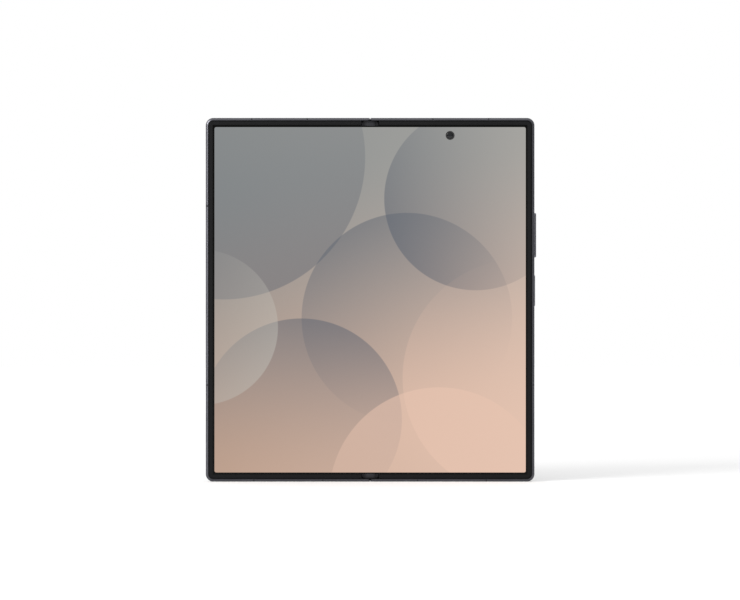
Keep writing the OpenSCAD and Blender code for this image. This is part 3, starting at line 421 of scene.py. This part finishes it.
def mesh_piece(name, points, faces, material, body, smooth=True):
    """A mesh object from an array of points in metres and lists of faces, riding on a body."""
    mesh = bpy.data.meshes.new(name)
    mesh.from_pydata(np.asarray(points, float).tolist(), [], [tuple(f) for f in faces])
    mesh.materials.append(material)
    mesh.polygons.foreach_set("use_smooth", np.full(len(mesh.polygons), smooth))
    mesh.update()
    made = bpy.data.objects.new(name, mesh)
    bpy.context.scene.collection.objects.link(made)
    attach(made, body)
    return made


def grid_faces(rows, columns, first=0, flip=False):
    """Quads of a grid whose point (i, j) has the index first + i * columns + j."""
    i, j = np.meshgrid(np.arange(rows - 1), np.arange(columns - 1), indexing="ij")
    a = (first + i * columns + j).ravel()
    quads = np.stack([a, a + 1, a + columns + 1, a + columns], 1)
    return (quads[:, ::-1] if flip else quads).tolist()


def grid_rim(rows, columns):
    """The indices of a grid's border points, in order round it."""
    return np.concatenate([np.arange(columns), np.arange(2, rows + 1) * columns - 1,
                           (rows - 1) * columns + np.arange(columns - 2, -1, -1),
                           np.arange(rows - 2, 0, -1) * columns])


def ease(value, low, high):
    """0 below low, 1 above high, and a smooth cubic step between."""
    t = np.clip((value - low) / (high - low), 0, 1)
    return t * t * (3 - 2 * t)


cap_half_w, cap_z0, cap_z1 = 3.6, 1.25, 3.5
relief_x, relief_z = 3.5, 1.58  # middle of the round relief in an outer corner
axis_x, axis_y = 1.825, -0.525  # the two fold axes stand at x = +-axis_x
cap_black, tree, shader = new_finish("cap_gloss", srgb(26, 26, 28), 0.22,
                                     **{"Specular IOR Level": 0.12})
grain(tree, shader, 0.15 * MM, 0.001 * MM, (0.18, 0.28))
# both ends fold onto one: x is taken from the middle line, and z from the nearer end
parts = add_node(tree, "SeparateXYZ", {0: on_object(tree)})
beside = add_node(tree, "Math", {0: parts.outputs["X"]}, operation="ABSOLUTE")
from_end = add_node(tree, "Math", {0: parts.outputs["Z"], 1: BODY_H / 2 * MM},
                    operation="SUBTRACT")
from_end = add_node(tree, "Math", {0: from_end.outputs[0]}, operation="ABSOLUTE")
from_end = add_node(tree, "Math", {0: BODY_H / 2 * MM, 1: from_end.outputs[0]},
                    operation="SUBTRACT")
spot = add_node(tree, "CombineXYZ", {0: beside.outputs[0], 1: from_end.outputs[0]})
apart = add_node(tree, "VectorMath", {0: spot.outputs[0],
                                      1: (relief_x * MM, relief_z * MM, 0)},
                 operation="DISTANCE")
# painted light: the colour is near black in each corner relief (painted shade) and lighter on the
# barrel's middle (painted highlight)
relief_shade = add_node(tree, "MapRange", {"Value": apart.outputs["Value"], "From Min": 0.48 * MM,
                                   "From Max": 0.56 * MM})
barrel_highlight = add_node(tree, "MapRange", {"Value": beside.outputs[0], "From Min": 1.0 * MM,
                                        "From Max": 2.5 * MM, "To Min": 1.0, "To Max": 0.45},
                     interpolation_type="SMOOTHSTEP")
# painted shade: darker towards the cap's end
inward = add_node(tree, "MapRange", {"Value": from_end.outputs[0], "From Min": 1.5 * MM,
                                     "From Max": 2.7 * MM, "To Min": 0.45, "To Max": 1.0},
                  interpolation_type="SMOOTHSTEP")
tone = add_node(tree, "Math", {0: barrel_highlight.outputs[0], 1: inward.outputs[0]},
                operation="MULTIPLY")
tone = add_node(tree, "Math", {0: tone.outputs[0], 1: relief_shade.outputs[0]}, operation="MULTIPLY")
shades(tree, shader, tone.outputs[0], (0.0004, 0.0004, 0.0005, 1), srgb(50, 50, 53))


def tube_faces(rings, size, first=0, flip=False):
    """Quads between closed rings of points: ring r has the points first + r * size onwards."""
    r, k = np.meshgrid(np.arange(rings - 1), np.arange(size), indexing="ij")
    a = (first + r * size + k).ravel()
    b = (first + r * size + (k + 1) % size).ravel()
    quads = np.stack([a, b, b + size, a + size], 1)
    return (quads[:, ::-1] if flip else quads).tolist()


def hinge_cover(name, node, top):
    """A closed cap. Its face is a height field over x and z: a low barrel, which falls by
    0.3 (x / 2.45)^2, between two ears, eased round all four edges and sunk in each outer corner
    by a circular relief. Walls carry the face's rim straight down to a flat bottom, and two
    round lobes below, swept along z, close the ends of the spine. A thin wedge, bounded by two
    arcs round the fold axes, fills the throat between the two frames' round ends."""
    face_y, deepest, bottom_y = -2.0, 1.2, -0.55
    barrel_half = 2.45
    gx, gz = np.meshgrid(np.linspace(-cap_half_w, cap_half_w, 145),
                         np.linspace(cap_z0, cap_z1, 46), indexing="ij")
    beside = np.abs(gx)
    barrel = 0.3 * np.clip(beside / barrel_half, 0, 1) ** 2
    ears = (0.14 * ease(beside, barrel_half, barrel_half + 0.1)
            * (1 - 0.5 * ease(beside, 2.6, 3.4)))
    edge = np.minimum(cap_half_w - beside, np.minimum(gz - cap_z0, cap_z1 - gz))
    rounded = 0.16 * (1 - ease(edge, 0, 0.18)) ** 2
    relief = 0.75 * (1 - ease(np.hypot(beside - relief_x, gz - relief_z), 0.42, 0.52))
    end_fall = 0.25 * (1 - ease(gz, cap_z0, cap_z0 + 0.28))
    gy = face_y + np.minimum(barrel + ears + rounded + relief + end_fall, deepest)
    face = np.stack([gx, gy, gz], -1).reshape(-1, 3)
    rows, columns = gx.shape
    rim = grid_rim(rows, columns)
    foot = face[rim].copy()
    foot[:, 1] = bottom_y
    points, count, n = [face, foot], len(face), len(rim)
    below = count + np.arange(n)
    walls = np.stack([rim, np.roll(rim, -1), np.roll(below, -1), below], 1)
    faces = grid_faces(rows, columns, flip=True) + walls.tolist() + [below.tolist()]
    count += n

    angle = np.linspace(0, 2 * np.pi, 41)[:-1]
    circle = 1.2 * np.stack([np.cos(angle), np.sin(angle)], 1)
    m = len(circle)
    ends = ((cap_z0, 0.9), (cap_z0 + 0.12, 1.0), (cap_z1 - 0.12, 1.0), (cap_z1, 0.9))
    for side in (-1, 1):
        points += [np.column_stack([(side * axis_x, axis_y) + circle * share, np.full(m, z)])
                   for z, share in ends]
        faces += tube_faces(len(ends), m, count)
        faces += [list(range(count + m - 1, count - 1, -1)),
                  list(range(count + 3 * m, count + 4 * m))]
        count += len(ends) * m

    depth = np.linspace(-1.55, -0.56, 12)
    half = axis_x - np.sqrt(1.81 ** 2 - (depth - axis_y) ** 2)
    loop = np.concatenate([np.stack([-half, depth], 1), np.stack([half, depth], 1)[::-1]])
    m = len(loop)
    points += [np.column_stack([loop, np.full(m, z)]) for z in (0.62, cap_z0 + 0.1)]
    faces += tube_faces(2, m, count, flip=True)
    faces += [list(range(count, count + m)),
              list(range(count + 2 * m - 1, count + m - 1, -1))]
    points = np.concatenate(points)
    if top:
        points[:, 2] = BODY_H - points[:, 2]
        faces = [list(f)[::-1] for f in faces]
    made = mesh_piece(name, points * MM, faces, cap_black, "hinge_spine")
    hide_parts(node)


hinge_cover("hinge_cover_bottom", "end_cap_bottom", False)
hinge_cover("hinge_cover_top", "end_cap_top", True)

# ---- Bezel ----
# A thin moulded border glued round each half over the display's edge. It is matt charcoal, a
# little proud of the metal, and it keeps the halves apart when the phone is closed.
charcoal = mottled("bezel_rubber", srgb(18, 18, 19), srgb(27, 27, 28), (0.52, 0.7), 0.1 * MM,
                   0.004 * MM, **{"Specular IOR Level": 0.1})
dress(charcoal, "bezel_right", "bezel_left")

# ---- Folding display ----
# A thin laminate that lies across both halves and the spine; its middle 11 mm is the strip
# that bends. It shows a plain wallpaper of overlapping soft discs, inside a narrow black border.
lit_half_w, lit_z0, lit_z1, lit_corner = 67.78, 3.98, 154.4, 0.8
punch_x, punch_z, punch_r = 34.85, BODY_H - 7.6, 1.95
pixels, tree, shader = new_finish("display_pixels", (0.0015, 0.0015, 0.0015, 1), 0.12,
                                  **{"Specular IOR Level": 0.1, "Emission Strength": 1.0})
# the chart's 0 to 1 becomes millimetres from the phone's middle
chart = add_node(tree, "UVMap", uv_map="screen")
spot = add_node(tree, "Mapping", {"Vector": chart.outputs[0],
                                  "Location": (-OPEN_W / 2, -BODY_H / 2, 0),
                                  "Scale": (OPEN_W, BODY_H, 1)})
parts = add_node(tree, "SeparateXYZ", {0: spot.outputs[0]})
across = add_node(tree, "MapRange", {"Value": parts.outputs["X"], "From Min": -66.0,
                                     "From Max": 66.0})
slant = add_node(tree, "Math", {0: parts.outputs["X"], 1: -0.22, 2: parts.outputs["Y"]},
                 operation="MULTIPLY_ADD")
upward = add_node(tree, "MapRange", {"Value": slant.outputs[0], "From Min": -70.0,
                                     "From Max": 68.0}, interpolation_type="SMOOTHSTEP")
low = add_node(tree, "Mix", {"Factor": across.outputs[0], "A": srgb(190, 160, 141),
                             "B": srgb(222, 191, 173)}, data_type="RGBA")
high = add_node(tree, "Mix", {"Factor": across.outputs[0], "A": srgb(139, 142, 142),
                              "B": srgb(164, 163, 159)}, data_type="RGBA")
picture = add_node(tree, "Mix", {"Factor": upward.outputs[0], "A": low.outputs["Result"],
                                 "B": high.outputs["Result"]}, data_type="RGBA")


def soft_disc(below, centre, radius, lean, tint, strength):
    """A translucent disc over the picture: full tint at one rim, fading to nothing across it.
    The share is clip(0.5 + (p - centre) . lean / (2 radius)) to the power 1.6, inside the
    circle, with an edge a third of a millimetre wide."""
    away = add_node(tree, "VectorMath", {0: spot.outputs[0], 1: (*centre, 0)},
                    operation="SUBTRACT")
    distance = add_node(tree, "VectorMath", {0: away.outputs[0]}, operation="LENGTH")
    inside = add_node(tree, "MapRange", {"Value": distance.outputs["Value"],
                                         "From Min": radius - 0.3, "From Max": radius,
                                         "To Min": strength, "To Max": 0.0})
    slope = add_node(tree, "VectorMath", {0: away.outputs[0], 1: (
        math.cos(math.radians(lean)) / (2 * radius), math.sin(math.radians(lean)) / (2 * radius),
        0)}, operation="DOT_PRODUCT")
    share = add_node(tree, "Math", {0: slope.outputs["Value"], 1: 0.5}, operation="ADD",
                     use_clamp=True)
    share = add_node(tree, "Math", {0: share.outputs[0], 1: 1.6}, operation="POWER")
    weight = add_node(tree, "Math", {0: share.outputs[0], 1: inside.outputs[0]},
                      operation="MULTIPLY")
    return add_node(tree, "Mix", {"Factor": weight.outputs[0], "A": below.outputs["Result"],
                                  "B": tint}, data_type="RGBA")


slate, peach, cream = srgb(92, 100, 112), srgb(232, 196, 176), srgb(196, 194, 186)
picture = soft_disc(picture, (-64, 62), 62, 300, slate, 0.5)
picture = soft_disc(picture, (46, 44), 40, 205, slate, 0.62)
picture = soft_disc(picture, (16, -8), 46, 120, slate, 0.55)
picture = soft_disc(picture, (66, -34), 52, 250, peach, 0.6)
picture = soft_disc(picture, (-30, -52), 44, 75, slate, 0.6)
picture = soft_disc(picture, (-74, -12), 34, 330, cream, 0.4)
picture = soft_disc(picture, (30, -86), 48, 95, peach, 0.55)
# the lit area: a rectangle with round corners, and an edge of 0.1 mm
past = over_box(tree, spot.outputs[0], (0, (lit_z0 + lit_z1 - BODY_H) / 2, 0),
                (lit_half_w - lit_corner, (lit_z1 - lit_z0) / 2 - lit_corner, 0))
lit = add_node(tree, "MapRange", {"Value": past, "From Min": lit_corner - 0.05,
                                  "From Max": lit_corner + 0.05, "To Min": 1.0, "To Max": 0.0})
shown = add_node(tree, "Mix", {"Factor": lit.outputs[0], "A": (0.0016, 0.0014, 0.0012, 1),
                               "B": picture.outputs["Result"]}, data_type="RGBA")
tree.links.new(shown.outputs["Result"], shader.inputs["Emission Color"])
touch = add_node(tree, "TexNoise", {"Vector": spot.outputs[0], "Scale": 0.35, "Detail": 6.0,
                                    "Distortion": 0.4})
wiped = add_node(tree, "MapRange", {"Value": touch.outputs["Fac"], "From Min": 0.35,
                                    "From Max": 0.7, "To Min": 0.08, "To Max": 0.2})
tree.links.new(wiped.outputs[0], shader.inputs["Roughness"])
# a low ripple of the laminate over the bending strip
ripple = add_node(tree, "TexWave", {"Vector": spot.outputs[0], "Scale": 0.04,
                                    "Distortion": 0.5, "Detail": 1.0})
bump = add_node(tree, "Bump", {"Height": ripple.outputs["Fac"], "Distance": 0.01 * MM,
                               "Strength": 0.3})
tree.links.new(bump.outputs[0], shader.inputs["Normal"])


def display_sheet(side):
    """One half of the display, a closed slab. Over the bend it is a row of narrow columns, their
    front sunk by a crease of 0.035 exp(-(x / 1.6)^2); past that it is a flat plate, with the
    camera's hole on the right. The columns are shorter beside the hinge's covers."""
    outer, low, corner = 69.3, 2.3, 1.0
    bend_half, cap_side, bend_low = 5.5, 4.4, 3.6
    front, back = 2.1 - 3.95, 2.1 - 3.4
    bend = np.linspace(0, bend_half, 45)
    low_z = np.where(bend < cap_side, bend_low, low)
    sunk = front + 0.035 * np.exp(-(bend / 1.6) ** 2)
    strip = np.concatenate([np.stack([bend, np.broadcast_to(y, bend.shape), z], 1)
                            for y in (sunk, back) for z in (low_z, BODY_H - low_z)])
    n = len(bend)
    a = np.arange(n - 1)
    faces = np.concatenate([
        np.stack([a, a + 1, a + n + 1, a + n], 1),
        np.stack([a + 2 * n, a + 3 * n, a + 3 * n + 1, a + 2 * n + 1], 1),
        np.stack([a, a + 2 * n, a + 2 * n + 1, a + 1], 1),
        np.stack([a + n, a + n + 1, a + 3 * n + 1, a + 3 * n], 1),
        [[0, n, 3 * n, 2 * n]]]).tolist()

    turn = np.linspace(0, np.pi / 2, 9)
    sine, cosine = corner * np.sin(turn), corner * np.cos(turn)
    outline = np.concatenate([
        [[bend_half, low]],
        np.stack([outer - corner + sine, low + corner - cosine], 1),
        np.stack([outer - corner + cosine, BODY_H - low - corner + sine], 1),
        [[bend_half, BODY_H - low]]])
    loops = [outline]
    if side > 0:
        angle = np.linspace(0, 2 * np.pi, 65)[:-1]
        loops.append(np.stack([punch_x + punch_r * np.cos(angle),
                               punch_z + punch_r * np.sin(angle)], 1))
    flat = np.concatenate(loops)
    first, m = len(strip), len(flat)
    plate = np.concatenate([np.column_stack([flat[:, 0], np.full(m, y), flat[:, 1]])
                            for y in (front, back)])
    threes = np.array(tessellate_polygon([np.column_stack([loop, np.zeros(len(loop))]).tolist()
                                          for loop in loops]))
    p, q, r = (flat[threes[:, i]] for i in range(3))
    area = (q - p)[:, 0] * (r - p)[:, 1] - (r - p)[:, 0] * (q - p)[:, 1]
    threes = np.where(area[:, None] > 0, threes, threes[:, ::-1])
    faces += (first + threes).tolist() + (first + m + threes[:, ::-1]).tolist()
    # walls round the outline, which stays open towards the bend, and round the hole
    i = first + np.arange(len(outline) - 1)
    faces += np.stack([i, i + m, i + m + 1, i + 1], 1).tolist()
    if side > 0:
        i = first + len(outline) + np.arange(len(loops[1]))
        j = np.roll(i, -1)
        faces += np.stack([j, j + m, i + m, i], 1).tolist()

    points = np.concatenate([strip, plate])
    name = "main_display_right"
    if side < 0:
        points[:, 0] *= -1
        faces = [f[::-1] for f in faces]
        name = "main_display_left"
    mesh = bpy.data.meshes.new(name)
    mesh.from_pydata((points * MM).tolist(), [], faces)
    mesh.materials.append(pixels)
    chart = mesh.uv_layers.new(name="screen")
    at = np.empty(len(mesh.loops), int)
    mesh.loops.foreach_get("vertex_index", at)
    chart.data.foreach_set("uv", np.stack([points[at, 0] / OPEN_W + 0.5,
                                           points[at, 2] / BODY_H], 1).ravel())
    mesh.update()
    made = bpy.data.objects.new(name, mesh)
    bpy.context.scene.collection.objects.link(made)
    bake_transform(made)
    return made


right_sheet = display_sheet(1)
left_sheet = display_sheet(-1)
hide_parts("display_right", "display_fold")
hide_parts("display_left")

# ---- Inner camera ----
# A black barrel in the display's hole, with a small dark front lens set just behind its rim.
# The lens is a shallow dome that falls with the square of its radius.
dark_lens, tree, shader = new_finish("dark_lens", srgb(20, 21, 23), 0.08,
                                     **{"Specular IOR Level": 0.35, "Coat Weight": 0.2,
                                        "Coat Roughness": 0.04})
radius = add_node(tree, "Attribute", attribute_name="from_axis")
pupil = add_node(tree, "MapRange", {"Value": radius.outputs["Fac"], "From Min": 0.9,
                                    "From Max": 1.25, "To Min": 1.0, "To Max": 0.0})
shades(tree, shader, pupil.outputs[0], srgb(2, 2, 2), srgb(24, 26, 29))


def dusty(tree, shader, scale, low, high):
    """A film of dust: the roughness runs between two values with a fine noise."""
    dust = add_node(tree, "TexNoise", {"Vector": on_object(tree), "Scale": scale,
                                       "Detail": 4.0})
    ranged = add_node(tree, "MapRange", {"Value": dust.outputs["Fac"], "To Min": low,
                                         "To Max": high})
    tree.links.new(ranged.outputs[0], shader.inputs["Roughness"])


dusty(tree, shader, 3000.0, 0.04, 0.12)


def turned_piece(name, profile, centres, material, body, facing=-1, steps=64):
    """A closed solid of revolution for each centre (x, z): the profile's (radius, y) points
    turn round an axis along y. The first and last points lie on the axis. The attribute
    from_axis keeps each point's radius in millimetres for the coating's rings."""
    radius, y = np.asarray(profile, float).T
    inner, rows = radius[1:-1, None], len(profile) - 2
    angle = np.linspace(0, 2 * np.pi, steps + 1)[:-1]
    points, faces, count = [], [], 0
    for cx, cz in centres:
        rings = np.stack([cx + inner * np.cos(angle),
                          np.broadcast_to(y[1:-1, None], (rows, steps)),
                          cz + inner * np.sin(angle)], -1)
        points += [rings.reshape(-1, 3), [[cx, y[0], cz], [cx, y[-1], cz]]]
        faces += tube_faces(rows, steps, count)
        k = np.arange(steps)
        after, last = (k + 1) % steps, (rows - 1) * steps
        tip, tail = np.full((2, steps), [[rows * steps], [rows * steps + 1]])
        faces += (count + np.stack([tip, after, k], 1)).tolist()
        faces += (count + np.stack([tail, last + k, last + after], 1)).tolist()
        count += rows * steps + 2
    if facing < 0:
        faces = [f[::-1] for f in faces]
    made = mesh_piece(name, np.concatenate(points) * MM, faces, material, body)
    radii = np.concatenate([np.repeat(radius[1:-1], steps), [0, 0]])
    held = made.data.attributes.new("from_axis", "FLOAT", "POINT")
    held.data.foreach_set("value", np.tile(radii, len(centres)))
    return made


lens_y, dome_r, dome_fall = -1.79, 1.3, 0.11
r = np.linspace(0.1, dome_r, 14)
dome = np.vstack([[0, lens_y], np.column_stack([r, lens_y + dome_fall * (r / dome_r) ** 2]),
                  [[1.36, -1.62], [1.36, -1.57], [0, -1.57]]])
selfie_lens = turned_piece("selfie_lens", dome, [(punch_x, punch_z)], dark_lens, "right_half")
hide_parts("inner_camera_lens")

# ---- Charging port ----
# A drawn steel shell set in the bottom edge, with a black tongue that carries two rows of
# gold-plated contacts.
shell_steel = mottled("port_shell", srgb(150, 150, 152), srgb(186, 186, 188), (0.22, 0.38),
                      0.06 * MM, 0.002 * MM, metallic=1.0, stretch=(1, 1, 0.15))
dress(shell_steel, "usb_port", "card_socket")
tongue_black = mottled("port_tongue", srgb(20, 20, 21), srgb(29, 29, 30), (0.4, 0.55), 0.1 * MM,
                       0.003 * MM)
dress(tongue_black, "usb_tongue")
gold = mottled("contact_gold", srgb(214, 170, 84), srgb(236, 198, 112), (0.18, 0.3), 0.05 * MM,
               0.001 * MM, metallic=1.0)

# 12 pads on each face of the tongue, half sunk in it: the face's place plus one pad's corners
pad_pitch, pad_half_w, pad_half_t, pad_z0, pad_z1 = 0.5, 0.13, 0.02, 0.25, 3.6
low, high = (np.array(c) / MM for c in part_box("usb_tongue"))
lane = (low[0] + high[0]) / 2 + (np.arange(12) - 5.5) * pad_pitch
corner = np.array([[-pad_half_w, pad_z0], [pad_half_w, pad_z0], [pad_half_w, pad_z1],
                   [-pad_half_w, pad_z1]])
box_faces = np.array([(0, 1, 2, 3), (7, 6, 5, 4), (0, 4, 5, 1), (1, 5, 6, 2), (2, 6, 7, 3),
                      (3, 7, 4, 0)])
pads, pad_faces = [], []
for side, face_y in ((-1, low[1]), (1, high[1])):
    block = np.empty((len(lane), 8, 3))
    block[..., 0] = lane[:, None] + np.tile(corner[:, 0], 2)
    block[..., 1] = face_y + np.repeat([side * pad_half_t, -side * pad_half_t], 4)
    block[..., 2] = low[2] + np.tile(corner[:, 1], 2)
    pads.append(block.reshape(-1, 3))
    first = np.arange(len(lane))[:, None, None] * 8 + (0 if side < 0 else len(lane) * 8)
    turned = box_faces if side < 0 else box_faces[:, ::-1]
    pad_faces += (first + turned).reshape(-1, 4).tolist()
contacts = mesh_piece("port_contacts", np.concatenate(pads) * MM, pad_faces, gold,
                      "right_half", smooth=False)

# ---- Speaker meshes ----
# Fine woven steel cloth, welded behind the openings in the bottom and the top edge to keep
# dust out.
cloth, tree, shader = new_finish("dust_cloth", srgb(46, 46, 48), 0.4, 0.8)
weave = add_node(tree, "TexChecker", {"Vector": on_object(tree), "Scale": 9000.0,
                                      "Color1": srgb(70, 70, 73), "Color2": srgb(16, 16, 17)})
tree.links.new(weave.outputs["Color"], shader.inputs["Base Color"])
bump = add_node(tree, "Bump", {"Height": weave.outputs["Fac"], "Distance": 0.02 * MM})
tree.links.new(bump.outputs[0], shader.inputs["Normal"])


def dust_screen(name, x0, x1, z, body):
    """A strip of cloth behind a row of openings, bowed inwards: z + bow (1 - s^2) across its
    height s, with the same surface again one thickness behind it, and its rim closed."""
    middle_y, half_h, bow, thick = 0.075, 0.62, 0.05, 0.06
    gx, gs = np.meshgrid(np.linspace(x0, x1, 33), np.linspace(-1, 1, 9), indexing="ij")
    inward = 1 if z < BODY_H / 2 else -1
    points = np.concatenate([
        np.stack([gx, middle_y + half_h * gs, z + inward * (bow * (1 - gs ** 2) + behind)],
                 -1).reshape(-1, 3) for behind in (0, thick)])
    rows, columns = gx.shape
    size = rows * columns
    rim = grid_rim(rows, columns)
    after = np.roll(rim, -1)
    faces = (grid_faces(rows, columns) + grid_faces(rows, columns, size, flip=True)
             + np.stack([rim, rim + size, after + size, after], 1).tolist())
    if inward < 0:
        faces = [f[::-1] for f in faces]
    made = mesh_piece(name, points * MM, faces, cloth, body)


cloth_in = 1.3  # from the edge's outer face
dust_screen("speaker_cloth_bottom", 46.2, 62.0, cloth_in, "right_half")
dust_screen("speaker_cloth_top", -44.1, -28.3, BODY_H - cloth_in, "left_half")

# ---- Rear cameras ----
# Three lenses in turned metal rings on a raised island. Behind each flat cover glass sits a
# black barrel with fine steps and a domed, coated front lens.
lens_x, lens_pitch = 55.6, 19
lens_zs = BODY_H - 17 - lens_pitch * np.arange(3)
centres = [(lens_x, z) for z in lens_zs]
ring_metal = anodised("camera_metal", srgb(70, 70, 75), srgb(138, 138, 145), 0.26)
tree = ring_metal.node_tree
shader = tree.nodes["Principled BSDF"]
# the rings' ledges under the glasses are printed black: where the nearest lens's axis is less
# than the glass's radius away. That lens is in the middle, or one pitch from it.
parts = add_node(tree, "SeparateXYZ", {0: on_object(tree)})
across = add_node(tree, "Math", {0: parts.outputs["X"], 1: lens_x * MM}, operation="SUBTRACT")
middle = add_node(tree, "Math", {0: parts.outputs["Z"], 1: lens_zs[1] * MM},
                  operation="SUBTRACT")
middle = add_node(tree, "Math", {0: middle.outputs[0]}, operation="ABSOLUTE")
outer = add_node(tree, "Math", {0: middle.outputs[0], 1: lens_pitch * MM},
                 operation="SUBTRACT")
outer = add_node(tree, "Math", {0: outer.outputs[0]}, operation="ABSOLUTE")
along = add_node(tree, "Math", {0: middle.outputs[0], 1: outer.outputs[0]},
                 operation="MINIMUM")
spot = add_node(tree, "CombineXYZ", {0: across.outputs[0], 1: along.outputs[0]})
apart = add_node(tree, "VectorMath", {0: spot.outputs[0]}, operation="LENGTH")
bare = add_node(tree, "MapRange", {"Value": apart.outputs["Value"], "From Min": 5.94 * MM,
                                   "From Max": 5.98 * MM})
toned = shader.inputs["Base Color"].links[0].from_socket
shades(tree, shader, bare.outputs[0], srgb(9, 9, 10), toned)
tree.links.new(bare.outputs[0], shader.inputs["Metallic"])
dress(ring_metal, "camera_island", "lens_rings")

clear, tree, shader = new_finish("cover_glass_clear", (0.95, 0.96, 0.97, 1), 0.0,
                                 **{"Transmission Weight": 1.0, "IOR": 1.5})
wipe = add_node(tree, "TexNoise", {"Vector": on_object(tree), "Scale": 400.0, "Detail": 5.0})
wiped = add_node(tree, "MapRange", {"Value": wipe.outputs["Fac"], "From Min": 0.55,
                                    "From Max": 0.8, "To Min": 0.0, "To Max": 0.03})
tree.links.new(wiped.outputs[0], shader.inputs["Roughness"])
dress(clear, "lens_glasses")

# a barrel's mouth: six steps, each a slope, a ledge and a wall, that narrow towards the lens
glass_y, barrel_r, barrel_foot = 3.5, 4.2, 1.5
step_r = np.repeat(np.linspace(3.9, 2.6, 6), 3)
step_y = np.repeat(glass_y - 0.05 - 0.22 * np.arange(6), 3)
steps = np.column_stack([step_r - np.tile([0, 0.12, 0.12], 6),
                         step_y - np.tile([0, 0.05, 0.2], 6)])
throat_r, throat_y = steps[-1] - (0, 0.05)
profile = np.vstack([[0, throat_y], [throat_r, throat_y], steps[::-1],
                     [[3.9, glass_y - 0.02], [4.15, glass_y - 0.02]],
                     [[barrel_r, glass_y - 0.05], [barrel_r, barrel_foot], [0, barrel_foot]]])
barrel_metal = anodised("barrel_metal", srgb(14, 14, 15), srgb(46, 46, 50), 0.3)
barrels = turned_piece("lens_barrels", profile, centres, barrel_metal, "right_half", facing=1)
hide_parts("camera_modules")


def camera_housings():
    """A moulded box under each barrel: a square of 10.5 mm with corners of 0.8 mm, swept from
    the plate to the back glass, its first and last 0.2 mm drawn in by 0.2 mm."""
    half, corner, steps = 5.25, 0.8, 8
    layers = ((-0.95, 0.2), (-0.75, 0), (1.35, 0), (1.55, 0.2))
    turn = np.linspace(0, np.pi / 2, steps) + np.pi / 2 * np.arange(4)[:, None]
    arcs = corner * np.stack([np.cos(turn), np.sin(turn)], -1)
    signs = np.array([(1, 1), (-1, 1), (-1, -1), (1, -1)])[:, None]
    m = 4 * steps
    points, faces, count = [], [], 0
    for x, z in centres:
        for y, inset in layers:
            loop = (arcs + signs * (half - corner - inset)).reshape(-1, 2)
            points.append(np.column_stack([x + loop[:, 0], np.full(m, y), z + loop[:, 1]]))
        faces += tube_faces(len(layers), m, count, flip=True)
        faces += [list(range(count, count + m)),
                  list(range(count + 4 * m - 1, count + 3 * m - 1, -1))]
        count += len(layers) * m
    made = mesh_piece("camera_housings", np.concatenate(points) * MM, faces, moulded,
                      "right_half", smooth=False)
    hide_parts("camera_modules")


camera_housings()

# the front lens in each barrel, with a coating whose hue changes from its middle outwards
coated, tree, shader = new_finish("lens_coating", srgb(12, 14, 24), 0.04, 0.75,
                                  **{"Coat Weight": 0.3, "Coat Roughness": 0.03})
dome_r, dome_fall = 2.35, 0.62
radius = add_node(tree, "Attribute", attribute_name="from_axis")
share = add_node(tree, "Math", {0: radius.outputs["Fac"], 1: dome_r + 0.05},
                 operation="DIVIDE")
iris = add_node(tree, "ValToRGB", {"Fac": share.outputs[0]})
bands = [(0.0, srgb(4, 5, 10)), (0.26, srgb(5, 6, 14)), (0.33, srgb(44, 34, 78)),
         (0.52, srgb(30, 52, 84)), (0.78, srgb(34, 70, 66)), (0.95, srgb(14, 16, 22))]
ramp = iris.color_ramp.elements
ramp[0].position, ramp[0].color = bands[0]
ramp[1].position, ramp[1].color = bands[-1]
for position, colour in bands[1:-1]:
    ramp.new(position).color = colour
tree.links.new(iris.outputs[0], shader.inputs["Base Color"])
dusty(tree, shader, 2500.0, 0.02, 0.08)
dome_y = throat_y + 0.75
r = np.linspace(0.15, dome_r, 18)
dome = np.vstack([[0, dome_y], np.column_stack([r, dome_y - dome_fall * (r / dome_r) ** 2]),
                  [[dome_r + 0.05, throat_y + 0.02], [dome_r + 0.05, throat_y - 0.1],
                   [0, throat_y - 0.1]]])
domes = turned_piece("lens_domes", dome, centres, coated, "right_half", facing=1)

flash_face, tree, shader = new_finish("flash_diffuser", srgb(226, 220, 198), 0.25,
                                      **{"Subsurface Weight": 0.2})
flash_middle = (63.4 * MM, 0, (lens_zs[0] - lens_pitch / 2) * MM)
centred = add_node(tree, "VectorMath", {0: on_object(tree), 1: flash_middle},
                   operation="SUBTRACT")
rings = add_node(tree, "TexWave", {"Vector": centred.outputs[0], "Scale": 1800.0},
                 wave_type="RINGS", rings_direction="Y")
bump = add_node(tree, "Bump", {"Height": rings.outputs["Fac"], "Distance": 0.04 * MM})
tree.links.new(bump.outputs[0], shader.inputs["Normal"])
shades(tree, shader, rings.outputs["Fac"], srgb(206, 196, 164), srgb(236, 230, 210))
dress(flash_face, "flash_window")
